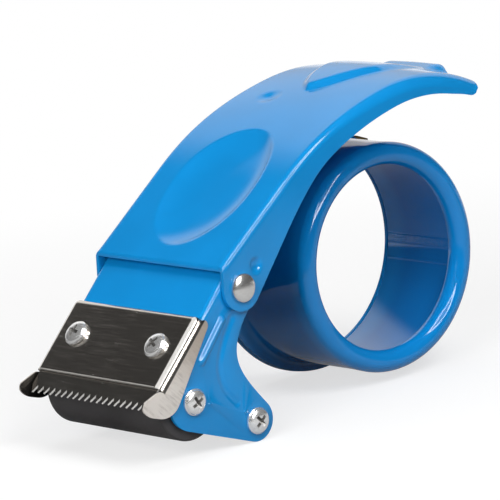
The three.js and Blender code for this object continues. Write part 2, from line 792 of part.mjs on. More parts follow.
// The wire's route: a straight tail over the ring, the coil round the stud, a leg up to the cover's edge.
const springTurn = springLegAngle - springTailAngle + full * springWholeTurns;
const springHeight = (springPitch * springTurn) / full + springWire;

function springRoute() {
  const steps = Math.round((springTurn / full) * springSteps);
  const coil = [];
  for (let step = 0; step <= steps; step += 1) {
    const share = step / steps;
    const flat = polar(stud, springCoilRadius, springTailAngle + springTurn * share);
    const along = frameHalf + seatGap + springWire / 2 + (springHeight - springWire) * share;
    coil.push(new THREE.Vector3(flat.x, along, flat.y));
  }
  const leave = new THREE.Vector3(Math.sin(springTailAngle), 0, -Math.cos(springTailAngle));
  const tail = coil[0].clone().addScaledVector(leave, springTail);
  const foot = edgeFoot(springTouch);
  const reach = new THREE.Vector3(foot.x, coil[steps].y, foot.y - seatGap - springWire);
  const hook = reach.clone().setY(coverHalf - sheet);
  return { tail, coil, reach, hook };
}

function returnSpring() {
  const { tail, coil, reach, hook } = springRoute();
  const last = coil[coil.length - 1];
  const legSteps = 4;
  const leg = [];
  for (let i = 1; i < legSteps; i += 1) {
    leg.push(last.clone().lerp(reach, i / legSteps));
  }
  const beforeBend = reach.clone().lerp(last, springWire / reach.distanceTo(last));
  const afterBend = reach.clone().lerp(hook, springWire / reach.distanceTo(hook));
  const route = [tail, coil[0].clone().lerp(tail, 0.5), ...coil, ...leg, beforeBend, afterBend, hook];
  return { geometry: sweptWire(route, springWire / 2, springSides), route };
}

// The least gap between stretches of the wire that lie at least half a turn apart.
function leastGap(route) {
  const apart = springSteps / 2 + 1;
  let least = Infinity;
  for (let i = 0; i < route.length; i += 1) {
    for (let j = i + apart; j < route.length; j += 1) {
      least = Math.min(least, route[i].distanceTo(route[j]) - springWire);
    }
  }
  return least;
}

// The spring's stud: a shank through the arm, a shoulder inside the coil and a flat head over it.
function springStud() {
  const seat = sheet + 2 * seatGap;
  const head = seat + springHeight + seatGap;
  const points = [[0, 0], [studRadius, 0], [studRadius, seat], [studShoulder, seat], [studShoulder, head]];
  points.push([studHeadRadius, head], [studHeadRadius, head + studHeadHeight - chamfer]);
  points.push([studHeadRadius - chamfer, head + studHeadHeight], [0, head + studHeadHeight]);
  return geometryOf(solid(turned(points, smallSteps)));
}

// The whole part

const part = new THREE.Group();

function place(name, geometry, finish, centre, across, flipped) {
  const mesh = new THREE.Mesh(geometry, new THREE.MeshStandardMaterial(finish));
  mesh.name = name;
  mesh.position.set(centre.x, across, centre.y);
  if (flipped) {
    mesh.rotation.x = Math.PI;
  }
  part.add(mesh);
  return mesh;
}

place('handle_cover', handleCover(), paint, hubAxis, 0);
place('head_frame', headFrame(), paint, hubAxis, 0);
place('hub_drum', hubDrum(), paint, hubAxis, 0);
place('blade_guard', bladeGuard(), satin, hubAxis, 0);
place('cutting_blade', cuttingBlade(), bright, hubAxis, 0);

const rivet = pivotRivet();
const endScrew = panScrew(screwReach - seatGap);
const rollerHalf = frameInner - rollerEndGap;
const shaftHalf = frameInner - seatGap;
for (const [word, side] of [['near', -1], ['far', 1]]) {
  const out = side < 0;
  place(`pivot_rivet_${word}`, rivet, bright, pivot, side * (coverHalf + seatGap), out);
  place(`roller_screw_${word}`, endScrew, bright, axle, side * (frameHalf + seatGap), out);
  place(`guide_screw_${word}`, endScrew, bright, guide, side * (frameHalf + seatGap), out);
}

const bladeScrew = panScrew(guardStand + sheet + seatGap + chamfer);
for (const [word, side] of [['near', -1], ['far', 1]]) {
  const seat = onPlate(-bladeScrewBack, guardStand + seatGap);
  const screw = place(`blade_screw_${word}`, bladeScrew, bright, seat, side * bladeScrewSide);
  screw.quaternion.copy(plateTurn);
}

const coreOuter = rollerBore - runGap;
const coreInner = coreOuter - coreWall;
const bushHigh = rollerHalf;
const bushLow = rollerHalf - bushLength;
const bush = tube(axleRadius + runGap, coreInner - runGap, bushLow, bushHigh, smallSteps);
place('roller_sleeve', tube(rollerBore, rollerRadius, -rollerHalf, rollerHalf, roundSteps), rubber, axle, 0);
place('roller_core', tube(coreInner, coreOuter, -rollerHalf, rollerHalf, smallSteps), satin, axle, 0);
place('roller_bush_near', bush, plastic, axle, 0, true);
place('roller_bush_far', bush, plastic, axle, 0);
place('roller_axle', tappedShaft(axleRadius, shaftHalf), satin, axle, 0);
place('guide_roller', tube(guideBore, guideRadius, -rollerHalf, rollerHalf, smallSteps), bright, guide, 0);
place('guide_axle', tappedShaft(guideAxleRadius, shaftHalf), satin, guide, 0);

const spring = returnSpring();
place('return_spring', spring.geometry, brass, hubAxis, 0);
place('spring_stud', springStud(), satin, stud, frameInner - seatGap);
console.log(`return_spring least gap to itself ${leastGap(spring.route).toFixed(2)} mm`);

// The origin is the middle of the bottom of the part's box.
part.updateMatrixWorld(true);
const box = new THREE.Box3().setFromObject(part, true);
part.position.set(-(box.min.x + box.max.x) / 2, -(box.min.y + box.max.y) / 2, -box.min.z);

export default part;
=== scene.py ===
# %% [markdown]
# # A pressed-steel packing tape dispenser
# The tool is a bent channel of blue painted sheet: a curved cover that the palm presses, a head that carries a
# rubber roller and a toothed blade, and a short drum on one arm for the roll of tape. The CAD model gives every
# piece its place. This lesson gives the sheet its true bends and rounded edges, and each surface its finish.

# %% Load the frame
import bmesh
import bpy
import numpy as np
from math import acos, asin, atan2, comb, cos, hypot, pi, radians, sin, sqrt, tan
from mathutils import Matrix, Vector


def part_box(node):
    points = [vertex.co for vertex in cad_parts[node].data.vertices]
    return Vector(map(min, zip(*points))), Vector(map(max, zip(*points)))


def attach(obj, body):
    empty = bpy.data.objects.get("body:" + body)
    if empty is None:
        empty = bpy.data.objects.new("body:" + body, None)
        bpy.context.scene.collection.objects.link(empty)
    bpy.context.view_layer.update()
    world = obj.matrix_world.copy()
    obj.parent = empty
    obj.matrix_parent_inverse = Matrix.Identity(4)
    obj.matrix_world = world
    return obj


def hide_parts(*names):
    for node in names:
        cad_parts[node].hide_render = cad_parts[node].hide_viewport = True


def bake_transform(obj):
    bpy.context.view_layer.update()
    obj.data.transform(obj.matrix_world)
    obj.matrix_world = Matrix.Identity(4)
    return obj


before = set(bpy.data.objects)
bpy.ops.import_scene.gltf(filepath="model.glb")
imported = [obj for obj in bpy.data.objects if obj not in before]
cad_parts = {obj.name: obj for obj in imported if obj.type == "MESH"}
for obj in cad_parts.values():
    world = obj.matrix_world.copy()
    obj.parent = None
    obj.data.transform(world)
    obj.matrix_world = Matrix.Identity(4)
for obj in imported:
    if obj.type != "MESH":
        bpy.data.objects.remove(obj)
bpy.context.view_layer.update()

# %% [markdown]
# All sizes below are in millimetres around the drum's axis, because that is how such a tool is dimensioned. One
# shift takes them to the frame: the drum's own box gives the axis, and its far end gives the place across.

# %% Where the drum's axis lies
MM = 0.001
frame_half = 29.1
drum_end = 27.6
drum_low, drum_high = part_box("hub_drum")
axis_place = Vector(((drum_low.x + drum_high.x) / 2, drum_high.y - drum_end * MM, (drum_low.z + drum_high.z) / 2))
to_frame = Matrix.Translation(axis_place) @ Matrix.Scale(MM, 4)
hub = np.array([0.0, 0.0])
pivot = np.array([-77.65, 8.26])
axle = np.array([-99.9, -22.6])
guide = np.array([-75.9, -33.9])
print("drum axis at", [round(v, 4) for v in axis_place])

# %% [markdown]
# Most pieces start as a list of corners and faces worked out by a rule. Small helpers place them, merge doubled
# corners, and round their sharp edges with a bevel, as paint does on cut sheet.

# %% Mesh helpers
def place_mesh(name, corners, faces, edges=()):
    mesh = bpy.data.meshes.new(name)
    mesh.from_pydata([tuple(c) for c in np.asarray(corners, float)], edges, faces)
    mesh.update()
    piece = bpy.data.objects.new(name, mesh)
    bpy.context.scene.collection.objects.link(piece)
    return piece


def applied(piece):
    """The piece as a plain mesh, with its modifiers worked in."""
    graph = bpy.context.evaluated_depsgraph_get()
    graph.update()
    done = bpy.data.meshes.new_from_object(piece.evaluated_get(graph))
    piece.modifiers.clear()
    old, piece.data = piece.data, done
    done.name = piece.name
    bpy.data.meshes.remove(old)
    return piece


def settle(piece):
    """The finished piece in metres and in the frame's place."""
    applied(piece).data.transform(to_frame)
    return piece


def tidy(piece, merge=1e-4, outward=True):
    made = bmesh.new()
    made.from_mesh(piece.data)
    bmesh.ops.remove_doubles(made, verts=made.verts, dist=merge)
    if outward:
        bmesh.ops.recalc_face_normals(made, faces=made.faces)
    made.to_mesh(piece.data)
    made.free()


def two_slots(piece):
    """Slot 0 for plain faces, and slot 1 for those that a finish is to know, such as rounded edges."""
    for slot in range(2):
        piece.data.materials.append(None)
    return piece


def round_edges(piece, width, steps, angle):
    """Rounds sharp edges; the new faces carry slot 1."""
    bevel = two_slots(piece).modifiers.new("rounded", "BEVEL")
    bevel.width = width
    bevel.segments = steps
    bevel.limit_method = "ANGLE"
    bevel.angle_limit = radians(angle)
    bevel.material = 1


def shade(piece, angle=35):
    piece.data.shade_smooth()
    piece.data.set_sharp_from_angle(angle=radians(angle))


# %% [markdown]
# ## The cover
# The real cover is pressed from one sheet: a channel whose back runs straight, then bends twice over the palm,
# with a hollow for the thumb and a raised crown for the palm. It could be modelled with subdivision surfaces, but
# the sheet follows a rule, so a grid of points is simpler and exact: each row is one section across the channel.

# %% The line of the cover's back
cover_half = 30.7
sheet = 1.2
lobe_radius = 7.3
lobe_rear = radians(-39)
front_corner = pivot + np.array([-lobe_radius + 0.45, 7.8])
back_slope = radians(37.2)
back_run = 35.3
bends = [(119.0, radians(25)), (60.0, radians(38))]
back_length = back_run + sum(radius * turn for radius, turn in bends)


def back_point(walked):
    run = min(walked, back_run)
    point = front_corner + run * np.array([cos(back_slope), sin(back_slope)])
    heading = back_slope
    start = back_run
    for radius, turn in bends:
        turning = min(max((walked - start) / radius, 0.0), turn)
        point = point + radius * np.array([
            sin(heading) - sin(heading - turning),
            cos(heading - turning) - cos(heading),
        ])
        heading -= turning
        start += radius * turn
    return point, heading


print("length of the back %.1f mm" % back_length)

# %% The hollow, the crown and the edge of the flange
def polar(centre, radius, angle):
    return np.array([centre[0] + radius * cos(angle), centre[1] + radius * sin(angle)])


def ease(share):
    t = min(max(share, 0.0), 1.0)
    return t * t * (3 - 2 * t)


lobe_end = polar(pivot, lobe_radius, lobe_rear)
back_way = np.array([cos(back_slope), sin(back_slope)])
lobe_run = float((lobe_end - front_corner) @ back_way)
lobe_way = np.array([-sin(lobe_rear), cos(lobe_rear)])
flange_depth, flange_swell, swell_run, tail_corner, foot_blend = 6.4, 0.95, 14, 3.0, 4.5
bowl_at, bowl_long, bowl_wide, bowl_deep = 31.0, 25.0, 19.0, 2.5
dent_at, dent_side, dent_long, dent_wide, dent_deep = 73.5, 12.5, 4.5, 5.6, 0.85
nose_at, nose_round, crown_half, crown_side = 78.8, 5.4, 15.0, 5.0
crown_high, crown_low, low_from, low_run = 1.8, 0.7, 95.0, 23.0
tail_high, tail_run = 3.4, 8.0


def relief(walked, across):
    """How far the back stands out of its own line: the palm's crown, less the thumb's hollow and one small dent."""
    along_share, across_share = (walked - bowl_at) / bowl_long, across / bowl_wide
    hollow = hypot(along_share, across_share)
    nearness = ease(0.33 - 0.67 * (across_share + 0.17 * along_share) / max(hollow, 0.15))
    left = max(1 - hollow ** (3.3 + 5.2 * nearness), 0.0)
    bowl = bowl_deep * left * left / (left + 0.11)
    small = hypot((walked - dent_at) / dent_long, (across - dent_side) / dent_wide)
    dent = dent_deep * cos(small * pi / 2) ** 2 if small < 1 else 0.0
    spread = ease((walked - (back_length - tail_run)) / tail_run)
    nose = min(sqrt(max(2 * nose_round * (walked - nose_at), 0.0)), crown_half)
    ridge = ease((nose + 2.2 * spread - abs(across)) / (crown_side + 1.5 * spread))
    level = crown_high + (crown_low - crown_high) * ease((walked - low_from) / low_run)
    return (level + (tail_high - level) * spread) * ridge - bowl - dent


def cross(a, b):
    return a[0] * b[1] - a[1] * b[0]


def edge_foot(walked):
    point, heading = back_point(walked)
    inward = np.array([sin(heading), -cos(heading)])
    if walked <= lobe_run:
        sweep = 2 * pi + lobe_rear - pi
        return polar(pivot, lobe_radius, pi + sweep * walked / lobe_run)
    to_line = cross(lobe_end - point, lobe_way) / cross(inward, lobe_way)
    near_tail = 1 - (walked - (back_length - tail_corner)) / tail_corner
    corner = sqrt(max(1 - (1 - near_tail) ** 2, 0)) if near_tail < 1 else 1.0
    swell = flange_swell * ease((back_length - walked) / swell_run)
    tail_depth = flange_depth + swell - tail_corner * (1 - corner)
    gap = abs(to_line - tail_depth)
    soft = max(foot_blend - gap, 0) ** 2 / (4 * foot_blend)
    return point + (max(to_line, tail_depth) + soft) * inward


print("lobe covers the first %.2f mm of the back" % lobe_run)

# %% One section across the channel
fold_front, fold_gain = 2.0, 3.2
back_droop, droop_from, droop_run = 1.3, 45.0, 50.0
dimple = np.array([-71.4, 14.1])
dimple_deep, dimple_radius, dimple_side = 0.85, 2.7, 1.6
flange_steps, fold_steps, flat_steps = 22, 10, 44


def section(walked, skin):
    """One row of points across the channel, on its outer skin or that far inside it."""
    point, heading = back_point(walked)
    down = edge_foot(walked) - point
    depth = float(np.linalg.norm(down))
    down = down / depth
    normal = np.array([-sin(heading), cos(heading)])
    square = -float(down @ normal)
    share = ease((walked - back_run) / (back_length - back_run))
    fold = fold_front + fold_gain * share
    if walked < lobe_run:
        fold = min(fold, depth * 0.85)
    bend = acos(1 - depth / fold) if depth < fold else pi / 2
    if depth >= fold:
        half = [(cover_half - skin, depth + (fold - depth) * i / flange_steps) for i in range(flange_steps)]
    else:
        side = cover_half - fold + (fold - skin) * sin(bend)
        half = [(side, fold - (fold - skin / square) * cos(bend))] * flange_steps
    for i in range(fold_steps + 1):
        angle = bend * (fold_steps - i) / fold_steps
        across = cover_half - fold + (fold - skin) * sin(angle)
        half.append((across, fold - (fold - skin / square) * cos(angle)))
    for i in range(1, flat_steps):
        half.append(((cover_half - fold) * (flat_steps - i) / flat_steps, skin / square))
    both = [(-y, d) for y, d in half] + [(0.0, skin / square)] + half[::-1]
    row = []
    for across, deep in both:
        on_back = ease((cover_half - fold - abs(across)) / fold)
        droop = back_droop * ease((walked - droop_from) / droop_run) * (across / cover_half) ** 2 * (1 - deep / depth)
        place = point + deep * down + (relief(walked, across) * on_back - droop) * normal
        press = 0.0
        if across < -cover_half + 2 * sheet and deep > fold:
            press = dimple_deep * ease((dimple_radius - hypot(*(place - dimple))) / dimple_side)
        row.append((place[0], across + press, place[1]))
    return row


print("a section has", len(section(0.0, 0.0)), "points")

# %% The whole sheet
stations = [lobe_run * i / 14 for i in range(15)]
stations += [lobe_run + (back_length - lobe_run) * i / 190 for i in range(1, 191)]
outer = [section(walked, 0.0) for walked in stations]
inner = [section(walked, sheet) for walked in stations]
rows, columns = len(outer), len(outer[0])


def sheet_faces(rows, columns):
    """Faces of the closed body between two grids of points."""
    def at(side, row, column):
        return side * rows * columns + row * columns + column

    faces = []
    for r in range(rows - 1):
        for c in range(columns - 1):
            faces.append((at(0, r, c), at(0, r, c + 1), at(0, r + 1, c + 1), at(0, r + 1, c)))
            faces.append((at(1, r, c), at(1, r + 1, c), at(1, r + 1, c + 1), at(1, r, c + 1)))
        faces.append((at(0, r, 0), at(0, r + 1, 0), at(1, r + 1, 0), at(1, r, 0)))
        last = columns - 1
        faces.append((at(0, r, last), at(1, r, last), at(1, r + 1, last), at(0, r + 1, last)))
    for c in range(columns - 1):
        faces.append((at(0, 0, c), at(1, 0, c), at(1, 0, c + 1), at(0, 0, c + 1)))
        end = rows - 1
        faces.append((at(0, end, c), at(0, end, c + 1), at(1, end, c + 1), at(1, end, c)))
    return faces


cover = place_mesh("cover_sheet", [p for row in outer + inner for p in row], sheet_faces(rows, columns))
tidy(cover, 1e-5)
round_edges(cover, 0.28, 2, 60)
settle(cover)
shade(cover, 50)
print("cover grid", rows, "by", columns)

# %% [markdown]
# ## The head
# The head is one sheet folded into a channel: the top plate, two folds and two side plates. The far side plate
# runs on as the arm and ends in a ring. Each flat is cut out as an outline with a thickness, the folded top is a
# section drawn along the slope, and a union makes them one sheet whose cut edges are then rounded.

# %% Outlines in the side view
def arc(centre, radius, start, end, steps):
    return [polar(centre, radius, start + (end - start) * i / steps) for i in range(steps + 1)]


def bezier(points, steps):
    made = []
    degree = len(points) - 1
    for i in range(steps + 1):
        t = i / steps
        weights = [comb(degree, k) * t**k * (1 - t) ** (degree - k) for k in range(degree + 1)]
        made.append(sum(w * np.asarray(p, float) for w, p in zip(weights, points)))
    return made


plate_slope = radians(45.5)
head_stand, head_fold, top_low, top_high = 12.76, 2.0, -6.2, -44.2
guide_lug, axle_lug, pivot_round, ear_reach, ear_half, waist_pull = 6.6, 9.1, 5.4, 11.0, 2.9, 17
plate_down = np.array([-cos(plate_slope), -sin(plate_slope)])
plate_out = np.array([-sin(plate_slope), cos(plate_slope)])


def on_plate(along, up):
    """A place by its distance down the top plate and its height above it."""
    return axle + plate_out * (head_stand + up) + plate_down * along


def plate_solid(name, outline, low, high):
    """A flat outline of x and z that fills y from low to high."""
    count = len(outline)
    corners = [(x, low, z) for x, z in outline] + [(x, high, z) for x, z in outline]
    faces = [tuple(range(count)), tuple(range(2 * count - 1, count - 1, -1))]
    faces += [(i, i + count, (i + 1) % count + count, (i + 1) % count) for i in range(count)]
    piece = place_mesh(name, corners, faces)
    tidy(piece)
    return piece


ear_arm = dimple - pivot
ear_angle = atan2(ear_arm[1], ear_arm[0]) + asin(ear_half / hypot(*ear_arm))
ear_tip = polar(pivot, ear_reach, ear_angle)
ear_back = (on_plate(top_high, -head_fold) + ear_tip) / 2 + np.array([0, 1.2])
lug_angle = radians(40)
waist_start, waist_end = np.array([-74.2, 1.4]), polar(guide, guide_lug, lug_angle)
waist = bezier([waist_start, polar(waist_start, waist_pull, radians(228.7)),
                polar(waist_end, waist_pull, radians(130)), waist_end], 40)
between = axle - guide
sole = atan2(between[1], between[0]) + acos((guide_lug - axle_lug) / hypot(*between))
if sole < 0:
    sole += 2 * pi
lugs = arc(guide, guide_lug, lug_angle, sole - 2 * pi, 26)[1:] + arc(axle, axle_lug, sole, radians(168), 18)
side_outline = [on_plate(top_low, -head_fold), on_plate(top_high, -head_fold), ear_back, ear_tip]
side_outline += arc(pivot, pivot_round, ear_angle, 0, 12) + waist + lugs
print("side plate outline has", len(side_outline), "points")

# %% The far side plate with its arm and ring
ring_outer, ring_hole, arm_sag = 40.5, 35.6, 3.0


def sagged(start, end, sag):
    return bezier([start, (start + end) / 2 - np.array([0, sag]), end], 16)


ring = arc(hub, ring_outer, radians(125), radians(208 - 360), 150)
arm_top = sagged(ear_tip, ring[0], arm_sag)
arm_foot = sagged(ring[-1], np.array([-78.2, -11.0]), -arm_sag)
arm_outline = arm_top + ring[1:] + arm_foot[1:] + [pivot]
near_plate = plate_solid("head_sheet", side_outline, -frame_half, -frame_half + sheet)
far_plate = plate_solid("far_plate", side_outline, frame_half - sheet, frame_half)
arm_plate = plate_solid("arm_plate", arm_outline, frame_half - sheet, frame_half)
hole_tool = plate_solid("hole_tool", arc(hub, ring_hole, 0, 2 * pi, 180)[:-1], frame_half - 3, frame_half + 2)

# %% The folded top
def fold_line(half, top, fold, foot, steps=10):
    """From one leg's foot over the top to the other's."""
    side = [(half, foot)] + arc((half - fold, top - fold), fold, 0, pi / 2, steps)
    return [(-y, h) for y, h in side] + side[::-1]


def channel(name, half, top, wall, fold, leg, start, end, roll=0.0):
    """A folded sheet drawn down the slope. With a roll, its upper rim turns in by that radius."""
    stops = []
    if roll > 0:
        for i in range(9):
            s, c = sin(pi / 2 * (1 - i / 9)), cos(pi / 2 * (1 - i / 9))
            stops.append((start - roll * s, roll * (1 - c), start - (roll - wall) * s, roll - (roll - wall) * c))
    stops += [(start, 0.0, start, wall), (end, 0.0, end, wall)]
    foot = top - fold - leg
    skins = []
    for place, inset in ((0, 1), (2, 3)):
        for stop in stops:
            drop = stop[inset]
            line = fold_line(half - drop, top - drop, fold - drop, foot)
            for y, h in line:
                x, z = on_plate(stop[place], h)
                skins.append((x, y, z))
    piece = place_mesh(name, skins, sheet_faces(len(stops), len(line)))
    tidy(piece)
    return piece


folded_top = channel("folded_top", frame_half, 0.0, sheet, head_fold, 4.0, top_high, top_low)
print("folded top spans", round(2 * frame_half, 1), "mm")

# %% [markdown]
# The near side plate is stiffened in the press: a short raised bead below the pivot, a shallow groove that curves
# behind it, and two small raised dots. Each is a smooth lens along a path; a union or a difference puts it in the
# plate, and its cosine profile meets the flat without a step.

# %% Pressed bead, groove and dots
def unit(way):
    return way / np.linalg.norm(way)


def through(points, steps):
    """A smooth line through all the points."""
    p = [np.asarray(q, float) for q in points]
    p = [2 * p[0] - p[1]] + p + [2 * p[-1] - p[-2]]
    made = []
    for i in range(1, len(p) - 2):
        for k in range(steps):
            t = k / steps
            made.append(0.5 * (2 * p[i] + (p[i + 1] - p[i - 1]) * t
                               + (2 * p[i - 1] - 5 * p[i] + 4 * p[i + 1] - p[i + 2]) * t**2
                               + (3 * p[i] - p[i - 1] - 3 * p[i + 1] + p[i + 2]) * t**3))
    return made + [p[-2]]


def pressed(name, path, half_width, height, columns=16, ends=8):
    """A closed lens on the near plate's face; a height below zero goes into the sheet."""
    path = [np.asarray(q, float) for q in path]
    first, last = unit(path[0] - path[1]), unit(path[-1] - path[-2])
    rounds = [sin(pi / 2 * i / ends) for i in range(1, ends + 1)]
    line = [(path[0] + first * half_width * past, -first, past) for past in rounds[::-1]]
    for i, point in enumerate(path):
        line.append((point, unit(path[min(i + 1, len(path) - 1)] - path[max(i - 1, 0)]), 0.0))
    line += [(path[-1] + last * half_width * past, last, past) for past in rounds]
    side = 1 if height > 0 else -1
    clear, sunk = 0.03 * side, 0.6 * side
    skins = ([], [])
    for point, way, past in line:
        wide = sqrt(max(1 - past**2, 0))
        for k in range(columns + 1):
            across = (2 * k / columns - 1) * wide
            x, z = point + np.array([-way[1], way[0]]) * across * half_width
            swell = (1 + cos(pi * min(hypot(past, across), 1.0))) / 2
            skins[0].append((x, -frame_half - (height + clear) * swell + clear, z))
            skins[1].append((x, -frame_half + sunk, z))
    piece = place_mesh(name, skins[0] + skins[1], sheet_faces(len(line), columns + 1))
    tidy(piece)
    return piece


bead_way = np.array([cos(radians(49)), sin(radians(49))])
bead_middle = np.array([-90.4, -5.7])
bead = pressed("bead", [bead_middle + bead_way * t for t in np.linspace(-7.2, 7.2, 12)], 2.0, 0.95)
groove_points = [(-81.7, -0.4), (-84.8, -5.1), (-86.9, -9.3), (-88.3, -13.7), (-88.1, -18.4), (-86.6, -22.3),
                 (-82.9, -26.8)]
groove = pressed("groove", through(groove_points, 5), 1.9, -0.42)
dots = [pressed("dot", [(x - 0.2, z), (x + 0.2, z)], 0.75, 0.3, 10, 6) for x, z in ((-93.6, -24.7), (-80.1, -30.2))]

# %% One sheet from its parts
def combine(piece, other, how):
    step = piece.modifiers.new(how.lower(), "BOOLEAN")
    step.operation = how
    step.solver = "EXACT"
    step.object = other


def discard(*pieces):
    for piece in pieces:
        bpy.data.objects.remove(piece)


combine(far_plate, arm_plate, "UNION")
combine(far_plate, hole_tool, "DIFFERENCE")
combine(near_plate, folded_top, "UNION")
combine(near_plate, far_plate, "UNION")
for shape in [bead] + dots:
    combine(near_plate, shape, "UNION")
combine(near_plate, groove, "DIFFERENCE")
round_edges(near_plate, 0.25, 2, 50)
head = settle(near_plate)
shade(head, 40)
discard(far_plate, arm_plate, hole_tool, folded_top, bead, groove, *dots)
print("head faces", len(head.data.polygons))

# %% [markdown]
# ## The drum
# The drum is rolled sheet with its near edge curled inwards, so that the fingers meet no cut edge, and its far end
# flared against the ring. A Screw modifier could turn it. Here the sweep is worked out as a list of corners, so that
# the last step meets the first exactly, and the same helper later turns screws, rivets and rollers.

# %% A turned solid from a profile
def turned(name, profile, steps, centre=(0.0, 0.0)):
    """Profile points are a radius and a place along the axis; the shell closes on itself or on the axis."""
    corners, faces = [], []
    count = len(profile)
    for i in range(steps):
        a = 2 * pi * i / steps
        corners += [(r * cos(a), along, r * sin(a)) for r, along in profile]
    for i in range(steps):
        for k in range(count):
            n = (k + 1) % count
            j = (i + 1) % steps
            if profile[k][0] < 1e-6 and profile[n][0] < 1e-6:
                continue
            faces.append((i * count + k, i * count + n, j * count + n, j * count + k))
    piece = place_mesh(name, corners, faces)
    tidy(piece, 1e-5)
    piece.data.transform(Matrix.Translation((centre[0], 0, centre[1])))
    return piece


drum_radius, drum_bore, drum_long, lip_out, curl, flare_wide = 36.8, 35.6, 40.2, 37.0, 3.6, 3.55
lip = (lip_out - curl, drum_end - drum_long + curl)
curled = radians(-225)
flare_along = drum_end - sheet
flare = bezier([(drum_radius + flare_wide, flare_along), (drum_radius, flare_along),
                (drum_radius, flare_along - 4.8)], 12)
profile = [(drum_radius + flare_wide, drum_end), *flare, (drum_radius, lip[1] + 8), (drum_radius + 0.05, lip[1] + 4.5)]
profile += arc(lip, curl, 0, curled, 30) + arc(lip, curl - sheet, curled, 0, 24)
profile += [(drum_bore, lip[1] + 4.5), (drum_bore, lip[1] + 8), (drum_bore, drum_end)]
drum = turned("drum_sheet", profile, 220)
round_edges(drum, 0.2, 2, 55)
settle(drum)
shade(drum, 40)

# %% [markdown]
# ## The blade's guard
# The guard is bright sheet bent over the head: a flat face, a rolled top edge, and two cheeks that reach down past
# the roller's ends. It is built like the head, from flats, a folded section and a union, because the cheeks have an
# outline of their own that a bend of one strip doesn't give.

# %% Guard
def rounded_outline(corners, steps):
    made = []
    for i, (corner, radius) in enumerate(corners):
        before = corners[i - 1][0]
        after = corners[(i + 1) % len(corners)][0]
        if radius == 0:
            made.append(corner)
            continue
        back, ahead = unit(before - corner), unit(after - corner)
        half = acos(float(back @ ahead)) / 2
        centre = corner + unit(back + ahead) * radius / sin(half)
        first = corner + back * radius / tan(half) - centre
        last = corner + ahead * radius / tan(half) - centre
        start = atan2(first[1], first[0])
        sweep = atan2(cross(first, last), float(first @ last))
        made += arc(centre, radius, start, start + sweep, steps)
    return made


guard_sheet, guard_stand, guard_fold = 0.9, 2.13, 2.8
cheek_half = frame_half + 0.3 + guard_sheet
rim_roll, rim_start, face_end = 2.1, -19.8, 4.2
cheek = rounded_outline([
    (on_plate(rim_start, guard_stand - guard_fold), 0),
    (on_plate(rim_start - rim_roll, guard_stand - guard_fold), 0.3),
    (on_plate(rim_start - rim_roll, -2.7), 1.8),
    (on_plate(9.0, -8.6), 7.0),
    (on_plate(13.45, 0.0), 7.0),
    (on_plate(13.2, 3.2), 1.9),
    (on_plate(11.3, 4.35), 2.2),
    (on_plate(5.0, 1.4), 2.5),
    (on_plate(face_end, guard_stand - guard_fold), 0),
], 10)
guard = channel("guard_sheet", cheek_half, guard_stand, guard_sheet, guard_fold, 0.9, rim_start, face_end, rim_roll)
guard_bits = [
    plate_solid("guard_near", cheek, -cheek_half, -cheek_half + guard_sheet),
    plate_solid("guard_far", cheek, cheek_half - guard_sheet, cheek_half),
]
for bit in guard_bits:
    combine(guard, bit, "UNION")
round_edges(guard, 0.28, 3, 45)
settle(guard)
shade(guard, 40)
discard(*guard_bits)
print("guard faces", len(guard.data.polygons))

# %% [markdown]
# ## The blade
# The blade is a hardened strip with a row of equal V teeth, each ground to a bevel on its upper face. Teeth repeat
# at one pitch, so Geometry Nodes lay them: one ground tooth is instanced along a line and joined to the strip.

# %% [markdown]
# Node trees are easier to read as sums, so one small class wraps a socket: adding or multiplying two wrapped sockets
# makes the Math node. Any other node comes from one method that takes its type, settings and values.

# %% A class for node trees
def give(target, value):
    """Leads a wrapped socket to a node's input, or sets the input's own value."""
    if isinstance(value, Flow):
        value.tree.links.new(value.socket, target)
    else:
        target.default_value = value


class Flow:
    """A number, colour or vector that flows from one output socket."""

    def __init__(self, tree, socket):
        self.tree = tree
        self.socket = socket

    def make(self, kind, settings=None, out=0, **values):
        """A new node of the same tree. An input goes by its label, or by its number, such as i0."""
        node = self.tree.nodes.new(kind)
        for name, value in (settings or {}).items():
            setattr(node, name, value)
        for name, value in values.items():
            key = int(name[1:]) if name[0] == "i" and name[1:].isdigit() else name.replace("_", " ")
            give(node.inputs[key], value)
        return Flow(self.tree, node.outputs[out])

    def math(self, operation, other=0.0, flip=False):
        first, second = (other, self) if flip else (self, other)
        return self.make("ShaderNodeMath", {"operation": operation}, i0=first, i1=second)

    def __add__(self, other):
        return self.math("ADD", other)

    __radd__ = __add__

    def __sub__(self, other):
        return self.math("SUBTRACT", other)

    def __rsub__(self, other):
        return self.math("SUBTRACT", other, flip=True)

    def __mul__(self, other):
        return self.math("MULTIPLY", other)

    __rmul__ = __mul__

    def most(self, other):
        return self.math("MAXIMUM", other)

    def over(self, low, high):
        """0 below low, 1 above high, and smooth between."""
        smooth = {"interpolation_type": "SMOOTHSTEP"}
        return self.make("ShaderNodeMapRange", smooth, Value=self, From_Min=low, From_Max=high)

    def band(self, low, low_end, high, high_end):
        """1 between the two, and smooth to 0 on each side."""
        return self.over(low, low_end) * (1 - self.over(high, high_end))

    def part(self, index):
        return self.make("ShaderNodeSeparateXYZ", out=index, Vector=self)

    def noise(self, scale, detail, rough=0.6):
        return self.make("ShaderNodeTexNoise", Vector=self, Scale=scale, Detail=detail, Roughness=rough)

    def marked(self, label):
        """A value that mark_edges wrote on the faces."""
        return self.make("ShaderNodeAttribute", {"attribute_name": label}, out="Fac")

    def blend(self, low, high):
        """A colour between low and high, by this share."""
        return self.make("ShaderNodeMix", {"data_type": "RGBA"}, out=2, i0=self, i6=low, i7=high)


